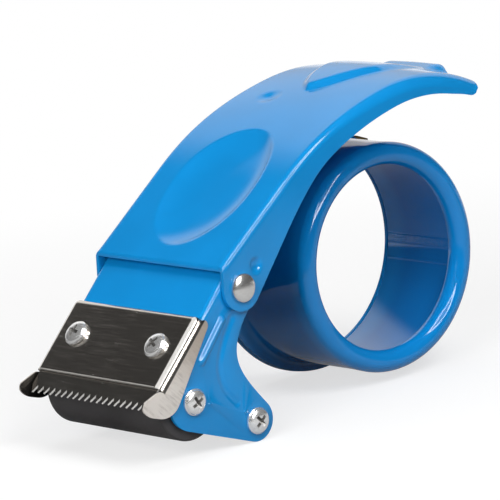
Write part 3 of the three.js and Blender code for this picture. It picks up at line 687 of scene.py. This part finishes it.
# %% Trees that grow a mesh
def new_tree(name, sizes):
    """A tree with named inputs: the tree, its inputs as wrapped sockets, and their identifiers."""
    tree = bpy.data.node_groups.new(name, "GeometryNodeTree")
    tree.is_modifier = True
    for way in ("INPUT", "OUTPUT"):
        tree.interface.new_socket("Geometry", in_out=way, socket_type="NodeSocketGeometry")
    ids = {}
    for label, kind in (*sizes, ("Finish", "Material")):
        ids[label] = tree.interface.new_socket(label, in_out="INPUT", socket_type="NodeSocket" + kind).identifier
    start = tree.nodes.new("NodeGroupInput")
    return tree, {socket.name: Flow(tree, socket) for socket in start.outputs}, ids


def close_tree(tree, given, shape):
    """Realizes what was instanced, sets the material and leads it out."""
    real = shape.make("GeometryNodeRealizeInstances", i0=shape)
    done = real.make("GeometryNodeSetMaterial", Geometry=real, Material=given["Finish"])
    give(tree.nodes.new("NodeGroupOutput").inputs[0], done)


def grown(piece, tree, ids, values, finish):
    """Runs the tree on the piece and leaves a plain mesh."""
    step = piece.modifiers.new("grown", "NODES")
    step.node_group = tree
    for label, value in values.items():
        step[ids[label]] = value
    step[ids["Finish"]] = finish
    return applied(piece)


# %% One tooth and the tree that repeats it
blade_steel = bpy.data.materials.new("blade_steel")
blade_half, blade_thick, blade_head, blade_lift = 28.6, 0.7, -17.0, 0.3
tooth_count, tooth_root, tooth_tip = 20, 9.4, 11.8
pitch = 2 * blade_half / tooth_count


def blade_tooth():
    """One V tooth with a ground upper face: across, down the slope, and up."""
    corners = [(x, y, up) for top in (0, 1) for x, y, up in (
        (-pitch / 2, tooth_root, blade_thick * top), (pitch / 2, tooth_root, blade_thick * top),
        (0, tooth_tip, blade_thick * 0.85 * top))]
    faces = [(0, 2, 1), (3, 4, 5), (0, 1, 4, 3), (1, 2, 5, 4), (2, 0, 3, 5)]
    return place_mesh("one_tooth", corners, faces)


def blade_tree():
    tree, given, ids = new_tree("row_of_teeth", (("Tooth", "Object"), ("Count", "Int"), ("Pitch", "Float")))
    count, step = given["Count"], given["Pitch"]
    offset = count.make("ShaderNodeCombineXYZ", X=step)
    first = count.make("ShaderNodeCombineXYZ", X=(count - 1.0) * -0.5 * step)
    line = count.make("GeometryNodeMeshLine", {"mode": "OFFSET"}, Count=count, Offset=offset, Start_Location=first)
    one = count.make("GeometryNodeObjectInfo", Object=given["Tooth"], out="Geometry")
    row = count.make("GeometryNodeInstanceOnPoints", Points=line, Instance=one)
    both = count.make("GeometryNodeJoinGeometry", i0=row)
    give(both.socket.node.inputs[0], given["Geometry"])
    close_tree(tree, given, both)
    return tree, ids


print("one tooth every %.2f mm" % pitch)

# %% The strip with its teeth
strip = ((-blade_half, blade_head), (blade_half, blade_head), (blade_half, tooth_root), (-blade_half, tooth_root))
strip_corners = [(x, y, z) for z in (0, blade_thick) for x, y in strip]
strip_faces = [(3, 2, 1, 0), (4, 5, 6, 7), (0, 1, 5, 4), (1, 2, 6, 5), (3, 0, 4, 7)]
blade = place_mesh("blade_strip", strip_corners, strip_faces)
tooth = blade_tooth()
teeth_tree, teeth_ids = blade_tree()
grown(blade, teeth_tree, teeth_ids, {"Tooth": tooth, "Count": tooth_count, "Pitch": pitch}, blade_steel)
discard(tooth)
lies_at = on_plate(0, blade_lift)
blade.data.transform(Matrix((
    (0, plate_down[0], plate_out[0], lies_at[0]),
    (1, 0, 0, 0),
    (0, plate_down[1], plate_out[1], lies_at[1]),
    (0, 0, 0, 1),
)))
blade.data.transform(to_frame)
tidy(blade, 1e-7, outward=False)
print("teeth", tooth_count, "faces", len(blade.data.polygons))

# %% [markdown]
# ## Screws and rivets
# Six pan-head screws with a cross recess hold the blade and the two shafts. One head is turned, its recess is cut,
# and Geometry Nodes set a copy at each place, turned to face its seat. The two pivot rivets are plain domes.

# %% One screw head
def mark_edges(piece, *materials, label="worn_edge"):
    """Turns slot 1 into a named value on faces, such as 1 on rounded edges, and sets the real materials."""
    mesh = piece.data
    slots = np.zeros(len(mesh.polygons), dtype=np.int32)
    mesh.polygons.foreach_get("material_index", slots)
    wear_and_highlight = mesh.attributes.new(label, "FLOAT", "FACE")
    wear_and_highlight.data.foreach_set("value", (slots == 1).astype(np.float32))
    mesh.polygons.foreach_set("material_index", np.zeros_like(slots))
    mesh.materials.clear()
    for material in materials:
        mesh.materials.append(material)
    print(piece.name, label, "faces", int((slots == 1).sum()))


def pan_head():
    dome = [(0.0, -9.0), (1.9, -9.0), (1.9, -0.3), (3.95, -0.3), (4.15, -0.1), (4.15, 0.6), (3.85, 0.85)]
    for i in range(1, 15):
        angle = pi / 2 * i / 14
        dome.append((3.8 * cos(angle) ** 0.85 if i < 14 else 0.0, 0.85 + 1.25 * sin(angle)))
    head_piece = two_slots(turned("one_screw", dome, 64))
    wide, deep, thin = 2.7, 1.4, 0.6
    corners = []
    for y, w, t in ((2.1 - deep, wide * 0.2, thin * 0.35), (2.3, wide, thin)):
        corners += [(-w, y, -t), (w, y, -t), (w, y, t), (-w, y, t)]
    faces = [(0, 1, 2, 3), (7, 6, 5, 4), (0, 4, 5, 1), (1, 5, 6, 2), (2, 6, 7, 3), (3, 7, 4, 0)]
    tools = []
    for turn in (0, 90):
        tool = two_slots(place_mesh("recess_tool", corners, faces))
        tool.data.transform(Matrix.Rotation(radians(turn), 4, "Y"))
        tidy(tool)
        for face in tool.data.polygons:
            face.material_index = 1
        combine(head_piece, tool, "DIFFERENCE")
        tools.append(tool)
    applied(head_piece)
    discard(*tools)
    mark_edges(head_piece, label="recess")
    return head_piece


one_screw = pan_head()

# %% Copies on their seats
def fastener_tree():
    tree, given, ids = new_tree("fasteners_on_seats", (("Head", "Object"),))
    seats = given["Geometry"]
    turn = seats.make("GeometryNodeInputNamedAttribute", {"data_type": "FLOAT_VECTOR"}, "Attribute", Name="turn")
    turned_by = seats.make("FunctionNodeEulerToRotation", i0=turn)
    one = seats.make("GeometryNodeObjectInfo", Object=given["Head"], out="Geometry")
    copies = seats.make("GeometryNodeInstanceOnPoints", Points=seats, Instance=one, Rotation=turned_by)
    close_tree(tree, given, copies)
    return tree, ids


screw_zinc = bpy.data.materials.new("screw_zinc")
rivet_steel = bpy.data.materials.new("rivet_steel")
fasteners, fastener_ids = fastener_tree()


def fastened(name, seats, one, finish, angle):
    """A copy of one head on each seat: the seats are points, and each point carries its head's turn."""
    piece = place_mesh(name, [place for place, turn in seats], [])
    turns = piece.data.attributes.new("turn", "FLOAT_VECTOR", "POINT")
    for i, (place, turn) in enumerate(seats):
        turns.data[i].vector = turn
    grown(piece, fasteners, fastener_ids, {"Head": one}, finish)
    discard(one)
    piece.data.transform(to_frame)
    shade(piece, angle)
    print(name, len(seats), "faces", len(piece.data.polygons))
    return piece


def facing(direction, spin):
    """The turn that points a head's +Y along a direction after it is spun about its own axis."""
    to = Vector(direction).normalized()
    turn = Vector((0, 1, 0)).rotation_difference(to).to_matrix() @ Matrix.Rotation(radians(spin), 3, "Y")
    return turn.to_euler("XYZ")


screw_seats = []
for centre, spins in ((axle, (28, 10)), (guide, (40, 55))):
    for side, spin in zip((-1, 1), spins):
        screw_seats.append(((centre[0], side * (frame_half + 0.3), centre[1]), facing((0, side, 0), spin)))
screw_along, screw_across = -9.4, 19.2
seat = on_plate(screw_along, guard_stand + 0.3)
for side, spin in ((-1, 15), (1, 35)):
    screw_seats.append(((seat[0], side * screw_across, seat[1]), facing((plate_out[0], 0, plate_out[1]), spin)))
screws = fastened("cross_head_screws", screw_seats, one_screw, screw_zinc, 30)

# %% Pivot rivets
grip = 2 * sheet + 1.0
rivet_profile = [(0.0, -grip - 1.2), (3.3, -grip - 1.2), (3.7, -grip - 0.8), (3.7, -grip), (2.4, -grip), (2.4, -0.3),
                 (4.35, -0.3)]
for i in range(17):
    angle = pi / 2 * i / 16
    rivet_profile.append((4.5 * cos(angle) if i < 16 else 0.0, 2.1 * (0.16 + 0.84 * sin(angle))))
rivet_seats = [((pivot[0], side * (cover_half + 0.3), pivot[1]), facing((0, side, 0), 0)) for side in (-1, 1)]
rivets = fastened("pivot_rivets", rivet_seats, turned("one_rivet", rivet_profile, 72), rivet_steel, 35)

# %% [markdown]
# ## Roller and shafts
# The black rubber sleeve is moulded on a steel tube that runs on two plastic bushes. The guide roller is a thin
# bright tube. Bevelled cylinders would do, but all are turned shapes, so the drum's helper makes them too, with the
# rounding of their ends drawn in the profile.

# %% Turned running gear
def tube_profile(bore, outside, low, high, round_by):
    first = arc((outside - round_by, low + round_by), round_by, -pi / 2, 0, 5)
    last = arc((outside - round_by, high - round_by), round_by, 0, pi / 2, 5)
    return [(bore, low), *first, *last, (bore, high)]


def running_piece(name, parts, centre):
    """Turned parts on one axis, joined in one mesh."""
    made = bmesh.new()
    for profile_points, steps in parts:
        one = turned("one_turning", profile_points, steps, centre)
        made.from_mesh(one.data)
        discard(one)
    piece = place_mesh(name, [], [])
    made.to_mesh(piece.data)
    made.free()
    settle(piece)
    shade(piece, 35)
    return piece


roller_half = 27.3
sleeve = running_piece("rubber_sleeve", [(tube_profile(8.0, 12.3, -roller_half, roller_half, 0.9), 160)], axle)
core = running_piece("roller_tube", [(tube_profile(6.2, 7.7, -roller_half, roller_half, 0.3), 96)], axle)
bushes = running_piece("roller_bushes", [
    (tube_profile(4.3, 5.9, roller_half - 8, roller_half, 0.4), 72),
    (tube_profile(4.3, 5.9, -roller_half, 8 - roller_half, 0.4), 72),
], axle)
guide_tube = running_piece("guide_tube", [(tube_profile(3.6, 5.0, -roller_half, roller_half, 0.5), 96)], guide)
print("running gear turned")

# %% [markdown]
# ## The return spring
# A wire spring on a stud lifts the cover. Its wire is one route of points: a tail, three turns round the stud and a
# leg that ends under the cover's edge. Geometry Nodes turn the route into a curve and give it a round section.

# %% Spring wire
spring_brass = bpy.data.materials.new("spring_brass")
stud = polar(hub, 38.3, radians(46))
wire_radius, coil_radius, spring_pitch, tail_long, coil_steps = 0.45, 4.1, 1.4, 4.5, 96
leg_foot = edge_foot(102.0)
tail_angle, leg_angle = radians(69), radians(42)
spring_turn = leg_angle - tail_angle + 6 * pi
coil_rise = spring_pitch * spring_turn / (2 * pi)


def spring_route():
    """The wire's middle line: the tail, the coil, and the leg that bends under the cover's edge."""
    coil = []
    for i in range(coil_steps + 1):
        flat = polar(stud, coil_radius, tail_angle + spring_turn * i / coil_steps)
        coil.append(np.array([flat[0], frame_half + 0.3 + wire_radius + coil_rise * i / coil_steps, flat[1]]))
    tail = coil[0] + tail_long * np.array([sin(tail_angle), 0, -cos(tail_angle)])
    under = leg_foot[1] - wire_radius - 0.06
    reach = np.array([leg_foot[0], coil[-1][1], under])
    hook = np.array([leg_foot[0], cover_half - sheet, under])
    back = coil[-1] - reach
    bend = [reach + back * 0.05] + bezier([reach + back * 0.04, reach, reach + (hook - reach) * 0.3], 8)
    return [tail, (tail + coil[0]) / 2] + coil + bend + [hook]


def wire_tree():
    tree, given, ids = new_tree("round_wire", (("Wire radius", "Float"), ("Sides", "Int")))
    route = given["Geometry"]
    curve = route.make("GeometryNodeMeshToCurve", Mesh=route)
    ring = route.make("GeometryNodeCurvePrimitiveCircle", Resolution=given["Sides"], Radius=given["Wire radius"])
    close_tree(tree, given, route.make("GeometryNodeCurveToMesh", Curve=curve, Profile_Curve=ring, Fill_Caps=True))
    return tree, ids


route = spring_route()
spring = place_mesh("spring_wire", route, [], [(i, i + 1) for i in range(len(route) - 1)])
wires, wire_ids = wire_tree()
grown(spring, wires, wire_ids, {"Wire radius": wire_radius, "Sides": 12}, spring_brass)
spring.data.transform(to_frame)
shade(spring, 50)
stud_foot = frame_half - sheet - 0.3
stud_seat = frame_half + 0.3
stud_top = stud_seat + coil_rise + 2 * wire_radius + 0.3
stud_profile = [(0.0, stud_foot), (1.5, stud_foot), (1.5, stud_seat), (3.2, stud_seat), (3.2, stud_top),
                (4.7, stud_top)]
stud_profile += arc((4.3, stud_top + 0.5), 0.4, 0, pi / 2, 5) + [(0.0, stud_top + 0.9)]
stud_piece = running_piece("spring_post", [(stud_profile, 64)], stud)
print("spring route done, coil rises %.1f mm" % coil_rise)

# %% [markdown]
# ## Finishes
# Each surface gets a procedural finish, written with the same wrapped sockets: a tone, a roughness and a fine relief.

# %% Colours and shaders
def tone(red, green, blue):
    """A colour as it is seen, 0 to 255, turned into the light values that a shader uses."""
    def linear(v):
        v = v / 255
        return v / 12.92 if v <= 0.04045 else ((v + 0.055) / 1.055) ** 2.4
    return (linear(red), linear(green), linear(blue), 1.0)


def cleared(owner, output_kind):
    """The owner's node tree with nothing but an output, and that output's surface socket."""
    owner.use_nodes = True
    owner.node_tree.nodes.clear()
    return owner.node_tree, owner.node_tree.nodes.new(output_kind).inputs[0]


def feed(shader, **values):
    for name, value in values.items():
        give(shader.inputs[name.replace("_", " ")], value)


def finish(material, **constants):
    """A fresh shader with its constant values set on its own sockets, and the place on the object."""
    tree, surface = cleared(material, "ShaderNodeOutputMaterial")
    shader = tree.nodes.new("ShaderNodeBsdfPrincipled")
    tree.links.new(shader.outputs[0], surface)
    feed(shader, **constants)
    return shader, Flow(tree, None).make("ShaderNodeTexCoord", out="Object")


def bump(shader, height):
    """Relief in millimetres, seen in the shading only."""
    feed(shader, Normal=height.make("ShaderNodeBump", Strength=1.0, Distance=MM, Height=height))


# %% [markdown]
# ### Blue enamel
# Thick gloss enamel, sprayed and baked on the steel. It could be a satin base under a clear coat, but the real
# paint has one glossy skin, so one layer is enough: broad noise moves the tone by a few percent, a fine ripple is
# the orange peel of sprayed paint, and the rounded edges turn duller where paint runs thin and rubs, and paler in
# patches, which is partly wear and partly a painted highlight. On the drum, the wall between lip and flare is
# painted a darker blue as shade.

# %% Enamel on the cover, the head and the drum
def enamel(piece, name, seen, edge_seen, extra=None, painted_shade=None):
    material = bpy.data.materials.new(name)
    shader, place = finish(material, IOR=1.47)
    cloud = place.noise(35.0, 2.0, 0.5)
    peel = place.noise(380.0, 1.0, 0.5)
    dust = place.noise(1400.0, 3.0)
    low = tuple(c * 0.96 for c in seen[:3]) + (1.0,)
    high = tuple(min(c * 1.05, 1.0) for c in seen[:3]) + (1.0,)
    edge = place.marked("worn_edge")
    # Partly wear, partly a painted highlight: rounded edges turn paler and duller in patches.
    wear_and_highlight = edge * dust.over(0.42, 0.62) * 0.7
    coat = cloud.over(0.3, 0.7).blend(low, high)
    # Painted shade: where the mask is set, the coat turns a darker blue.
    if painted_shade is not None:
        coat = painted_shade(place).blend(coat, tone(6, 104, 178))
    roughness = dust * 0.04 + cloud * 0.02 + wear_and_highlight * 0.2 + 0.06
    feed(shader, Base_Color=wear_and_highlight.blend(coat, edge_seen), Roughness=roughness)
    height = peel * 0.006 + dust * 0.0012 - wear_and_highlight * 0.02
    if extra is not None:
        height = height + extra(place)
    bump(shader, height)
    mark_edges(piece, material)


def weld_seam(place):
    """The rolled wall's joint: a beaded weld and the thin line of the lap, both along the drum's axis."""
    across = place.part(0) - axis_place.x
    upward = place.part(2) - axis_place.z
    ripple = place.noise(800.0, 2.0)
    right = across.over(0.0, 0.01)
    high = {}
    for label, degrees in (("weld", -5.5), ("lap", -16.0)):
        c, d = cos(radians(degrees)), sin(radians(degrees))
        high[label] = (upward * c - across * d).math("ABSOLUTE")
    weld = (1 - high["weld"].over(0.0009, 0.0019)) * (ripple * 0.5 + 0.05)
    lap = (1 - high["lap"].over(0.0001, 0.0006)) * 0.1
    past_lip = (place.part(1) - axis_place.y).over(-0.0065, -0.004)
    bore = 1 - (across * across + upward * upward).over(0.0358**2, 0.0364**2)
    return (weld * 0.36 + lap) * right * past_lip * bore


def painted_shade_between_ends(place):
    """The drum between its lip and its flare, painted a darker blue as shade on the wall."""
    return (place.part(1) - axis_place.y).band(-0.009, -0.003, 0.017, 0.024) * 0.65


enamel(cover, "cover_enamel", tone(14, 138, 208), tone(92, 170, 214))
enamel(drum, "drum_enamel", tone(12, 134, 209), tone(92, 170, 216), weld_seam, painted_shade_between_ends)
enamel(head, "head_enamel", tone(14, 138, 208), tone(92, 170, 214))

# %% [markdown]
# ### Metals and rubber
# The guard's face is nearly a mirror, with hair-fine scratches along its width, and its cheeks are dull from the
# press. Screws are zinc plated, the rivets are polished, and the rubber is matt with a faint grain. Pictures of
# scratched steel could be laid on, but noise that is stretched along one axis gives the same grain at any distance.

# %% One recipe for bare metal
def metal(material, seen, rough, spread, stretch, scratch=0.0, gleam=1.0, rise=0.003):
    shader, place = finish(material, Metallic=gleam)
    along = place.make("ShaderNodeMapping", Vector=place, Scale=stretch)
    grain = along.noise(1600.0, 3.0)
    cloud = place.noise(120.0, 3.0)
    marks = grain.over(0.45, 0.8) * cloud * scratch
    low = tuple(c * 0.9 for c in seen[:3]) + (1.0,)
    colour = grain.over(0.25, 0.75).blend(low, seen)
    roughness = grain * spread + cloud * 0.05 + marks * 0.5 + rough
    feed(shader, Base_Color=colour, Roughness=roughness)
    bump(shader, grain * rise)
    return shader, place, colour, roughness, grain


# %% [markdown]
# The guard's finish changes from place to place: the face, the dull cheeks, painted dark reflections and painted
# highlights in the fold, painted highlights along the rims, and painted shade on the inner faces of the cheeks.
# Faces could be given separate materials, but these changes follow distances, so masks are worked out from how far a
# point lies to the side, down the slope and above the plate.

# %% The guard
guard_steel = bpy.data.materials.new("guard_steel")
guard_shader, guard_place, guard_colour, guard_rough, guard_grain = metal(
    guard_steel, tone(212, 206, 198), 0.1, 0.08, (1.0, 0.06, 1.0), 0.3)
side = (guard_place.part(1) - axis_place.y).math("ABSOLUTE") * 1000
plate_x, plate_z = on_plate(0, 0)
rightward = (guard_place.part(0) - axis_place.x) * 1000 - float(plate_x)
higher = (guard_place.part(2) - axis_place.z) * 1000 - float(plate_z)
slope_way = rightward * plate_down[0] + higher * plate_down[1]
stand = rightward * plate_out[0] + higher * plate_out[1]
past_face = slope_way.over(face_end + 0.1, face_end + 0.5)
fold_foot = guard_stand - guard_fold
below_fold = 1 - stand.over(fold_foot - 0.3, fold_foot)
off_plate = below_fold.most(past_face)
on_cheek = side.over(cheek_half - 0.5, cheek_half - 0.2) * off_plate
inner_band = side.band(frame_half + 0.05, frame_half + 0.2, cheek_half - 0.8, cheek_half - 0.6)
inside = inner_band * off_plate
on_fold = side.over(cheek_half - guard_fold, cheek_half - guard_fold + 0.3) * (1 - past_face)
# Painted dark reflections: two dark lines in the guard's fold, where it would mirror the dark room.
painted_dark_stripe = stand.band(0.94, 1.02, 1.24, 1.32)
painted_crease_dark = stand.band(fold_foot - 0.3, fold_foot, 0.0, 0.4)
painted_dark_lines = on_fold * painted_dark_stripe.most(painted_crease_dark * 0.8)
brushed = guard_place.make("ShaderNodeCombineXYZ", X=slope_way * 1.5, Y=guard_place.part(1) * 200, Z=stand * 0.18)
brushed = brushed.noise(1.0, 3.0)
blotch = guard_place.noise(260.0, 3.0)
satin = slope_way.over(-19.0, 4.0).blend(tone(180, 168, 156), tone(232, 226, 219))
satin = (brushed.over(0.4, 0.7) * blotch.over(0.3, 0.7) * 0.45).blend(satin, tone(150, 138, 130))
# Painted highlights: bright stripes on the fold and a bright line along the face's lower rim.
lower_rim = slope_way.over(face_end - 0.45, face_end - 0.3) * (1 - past_face) * (1 - on_fold) * stand.over(0.9, 1.2)
painted_highlight = (on_fold * stand.band(1.28, 1.32, 2.04, 2.12)).most(lower_rim * 0.6)
colour = painted_highlight.blend(on_cheek.blend(guard_colour, satin), tone(250, 247, 242))
# Painted shade: the inner faces of the cheeks turn nearly black.
colour = (inside * 0.95).blend(colour, tone(22, 20, 19))
# Painted highlight: the rounded edges away from the fold turn nearly white and less metallic.
painted_edge_highlight = guard_place.marked("worn_edge") * (1 - on_fold) * (1 - inner_band)
colour = (painted_edge_highlight * 0.85).blend(painted_dark_lines.blend(colour, tone(16, 14, 12)), tone(244, 242, 238))
metallic = 1 - painted_edge_highlight * 0.6 - painted_highlight * 0.6 - on_cheek * (1 - painted_edge_highlight) * 0.5
roughness = guard_rough + on_cheek * 0.24 + inside * 0.3 + painted_dark_lines * 0.2
feed(guard_shader, Base_Color=colour, Metallic=metallic, Roughness=roughness)
bump(guard_shader, guard_grain * (1 - on_cheek) * 0.003 + on_cheek * (brushed * 0.006 + blotch * 0.005))
mark_edges(guard, guard_steel)

# %% Blade, screws, rivets, spring and shafts
blade_shader, blade_place, blade_colour = metal(
    blade_steel, tone(204, 199, 192), 0.12, 0.08, (1.0, 0.05, 1.0), 0.3)[:3]
normal = blade_place.make("ShaderNodeNewGeometry", out="Normal")
# Painted highlight: the teeth's side facets are whiter and less metallic than the strip.
painted_flank_glint = normal.part(1).math("ABSOLUTE").over(0.35, 0.6)
feed(blade_shader, Base_Color=painted_flank_glint.blend(blade_colour, tone(250, 248, 244)), Metallic=1 - painted_flank_glint * 0.5)
screw_shader, screw_place, screw_colour, screw_rough = metal(
    screw_zinc, tone(250, 250, 249), 0.19, 0.05, (1.0, 1.0, 1.0), 0.1, gleam=0.8, rise=0.0006)[:4]
recess = screw_place.marked("recess")
# Painted shade: the cross recess is darker than the head.
recess_painted_shade = (recess * 0.85).blend(screw_colour, tone(112, 110, 106))
feed(screw_shader, Base_Color=recess_painted_shade, Roughness=screw_rough + recess * 0.2)
metal(rivet_steel, tone(222, 221, 219), 0.17, 0.04, (1.0, 1.0, 1.0), 0.1, gleam=0.9, rise=0.0006)
metal(spring_brass, tone(112, 92, 54), 0.25, 0.15, (1.0, 1.0, 1.0))
shaft_steel = bpy.data.materials.new("shaft_steel")
metal(shaft_steel, tone(196, 194, 190), 0.2, 0.12, (0.2, 1.0, 0.2))
for piece, material in ((core, shaft_steel), (guide_tube, shaft_steel), (stud_piece, rivet_steel)):
    piece.data.materials.append(material)
print("metals", [m.name for m in bpy.data.materials if "steel" in m.name or "zinc" in m.name or "brass" in m.name])

# %% Rubber and bush plastic
def moulded(piece, name, ior, grain_noise, tone_noise, span, low, high, rise):
    """A matt material: one noise is its grain, and one moves its tone."""
    material = bpy.data.materials.new(name)
    shader, place = finish(material, IOR=ior)
    grain = place.noise(*grain_noise)
    colour = place.noise(*tone_noise).over(*span).blend(low, high)
    feed(shader, Base_Color=colour, Roughness=grain * 0.2 + 0.4)
    bump(shader, grain * rise)
    piece.data.materials.append(material)
    print(piece.name, "is of", name)


moulded(sleeve, "rubber_black", 1.42, (1500.0, 4.0), (60.0, 2.0, 0.5), (0.3, 0.7),
        tone(51, 49, 50), tone(62, 60, 61), 0.03)
moulded(bushes, "bush_plastic", 1.5, (900.0, 3.0, 0.5), (900.0, 3.0, 0.5), (0.2, 0.8),
        tone(196, 190, 176), tone(216, 211, 198), 0.02)
for shaft in ("roller_axle", "guide_axle"):
    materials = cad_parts[shaft].data.materials
    materials.clear()
    materials.append(shaft_steel)

# %% [markdown]
# ## Hand the pieces to the frame
# Each piece but the spring now rides on the body that moves it, and each stands for its CAD nodes.

# %% Bodies and nodes
def finished(piece, body, slot, *nodes):
    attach(piece, body)
    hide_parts(*nodes)
    print(piece.name, "faces", len(piece.data.polygons), "stands for", ", ".join(nodes))


finished(cover, "handle", "cover_paint", "handle_cover")
finished(head, "frame", "frame_paint", "head_frame")
finished(drum, "frame", "drum_paint", "hub_drum")
finished(guard, "frame", "guard_steel", "blade_guard")
finished(blade, "frame", "blade_steel", "cutting_blade")
finished(screws, "frame", "screw_zinc", "blade_screw_near", "blade_screw_far", "roller_screw_near", "roller_screw_far",
         "guide_screw_near", "guide_screw_far")
finished(rivets, "frame", "rivet_steel", "pivot_rivet_near", "pivot_rivet_far")
finished(sleeve, "roller", "roller_rubber", "roller_sleeve")
finished(core, "roller", "shaft_steel", "roller_core")
finished(bushes, "roller", "bush_plastic", "roller_bush_near", "roller_bush_far")
finished(guide_tube, "guide", "shaft_steel", "guide_roller")
finished(stud_piece, "frame", "rivet_steel", "spring_stud")
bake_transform(spring)
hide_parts("return_spring")

# %% [markdown]
# ## Floor, lights and camera
# A studio shows white behind the tool, and polished steel mirrors what is not behind it: a dark room with soft
# lamps. The light itself stays plain. Light Path tells a camera or mirror ray from a ray that carries light, so the
# paper and the air can be white to the one and modest to the other.

# %% What rays see
def light_paths(tree):
    """Wrapped shares: seen by the camera, and seen in a mirror."""
    rays = tree.nodes.new("ShaderNodeLightPath")
    straight = Flow(tree, rays.outputs["Is Camera Ray"]).most(Flow(tree, rays.outputs["Is Transmission Ray"]))
    return straight, Flow(tree, rays.outputs["Is Glossy Ray"])


def mixed(share, first, second):
    return share.make("ShaderNodeMixShader", i0=share, i1=first, i2=second)


def glow(flow, strength, kind="ShaderNodeEmission"):
    """White light of this strength, in the tree that the flow is in."""
    return flow.make(kind, Color=(1, 1, 1, 1), Strength=strength)


# %% Floor
floor = place_mesh("floor", [(-4, -4, 0), (4, -4, 0), (4, 4, 0), (-4, 4, 0)], [(0, 1, 2, 3)])
floor_paper = bpy.data.materials.new("floor_paper")
tree, surface = cleared(floor_paper, "ShaderNodeOutputMaterial")
straight, mirrored = light_paths(tree)
paper = straight.make("ShaderNodeBsdfDiffuse", Color=(0.36, 0.36, 0.36, 1))
spot = straight.make("ShaderNodeTexCoord", out="Object")
aside, beyond = spot.part(0), spot.part(1)
from_middle = aside * aside + beyond * beyond
front = 1 - (beyond * 0.77 - aside * 0.64).over(-0.06, 0.06)
lift = glow(straight, straight * 0.67 + mirrored * front * 0.3)
horizon = (beyond * 0.77 + aside * 0.64).over(0.1, 0.34)
dark_room = mirrored * from_middle.over(0.27**2, 0.46**2) * 0.88
shown = straight.make("ShaderNodeAddShader", i0=paper, i1=lift)
shown = mixed(dark_room, shown, glow(straight, horizon + 0.05))
give(surface, mixed(straight * from_middle.over(0.08**2, 0.4**2), shown, glow(straight, 1.0)))
floor.data.materials.append(floor_paper)
print("floor laid")

# %% Lights
def soft_light(name, direction, distance, width, height, share, mirrored=True):
    """A soft box that lights a surface turned to it by this share of full white."""
    data = bpy.data.lights.new(name, "AREA")
    data.shape, data.size, data.size_y = "RECTANGLE", width, height
    data.energy = share * pi**2 * distance**2
    lamp = bpy.data.objects.new(name, data)
    lamp.location = axis_place + Vector(direction).normalized() * distance
    lamp.rotation_euler = (axis_place - lamp.location).to_track_quat("-Z", "Y").to_euler()
    lamp.visible_camera = False
    lamp.visible_glossy = mirrored
    bpy.context.scene.collection.objects.link(lamp)
    print(name, "share", share)
    return lamp


soft_light("key", (-0.13, -0.73, 0.68), 1.3, 0.5, 0.7, 0.58, mirrored=False)
soft_light("overhead", (0.05, 0.1, 1.0), 1.2, 1.0, 1.0, 0.25, mirrored=False)
soft_light("front_left", (-0.85, -0.35, 0.38), 1.3, 0.7, 0.7, 0.63, mirrored=False)
shine = soft_light("shine", (-0.13, -0.73, 0.68), 1.3, 0.7, 1.1, 2.2)
shine.visible_diffuse = False

# %% The air of the studio
world = bpy.data.worlds.new("studio")
bpy.context.scene.world = world
tree, surface = cleared(world, "ShaderNodeOutputWorld")
straight, mirrored = light_paths(tree)
way = straight.make("ShaderNodeTexCoord", out="Generated")
high = way.part(2)
toward = way.part(0) * 0.633 + way.part(1) * 0.755 + high * 0.174
bright = high.over(0.05, 0.5) * 0.5 + (1 - high.over(0.0, 0.17)) * 0.5 + 0.56
backdrop = toward.over(0.68, 0.82) * bright + 0.055
seen = straight.most(mirrored * backdrop)
modest = (1 - straight.most(mirrored)) * 0.135
give(surface, glow(straight, seen + modest, "ShaderNodeBackground"))
print("studio air ready")

# %% Camera
eye = axis_place + Vector((-897.61, -1015.69, 270.18)) * MM
forward = Vector((0.62994, 0.75257, -0.19185)).normalized()
right = Vector((0.7507, -0.6532, -0.0980))
right = (right - forward * right.dot(forward)).normalized()
upward = right.cross(forward)
lens = bpy.data.cameras.new("photo_lens")
lens.lens = 36 * 4306.76 / 500
lens.sensor_width = 36
lens.clip_start = 0.05
camera = bpy.data.objects.new("photo_camera", lens)
turn = Matrix((right, upward, -forward)).transposed().to_4x4()
camera.matrix_world = Matrix.Translation(eye) @ turn
bpy.context.scene.collection.objects.link(camera)
bpy.context.scene.camera = camera
bpy.context.scene.view_settings.view_transform = "Standard"
print("camera at", [round(v, 3) for v in eye])
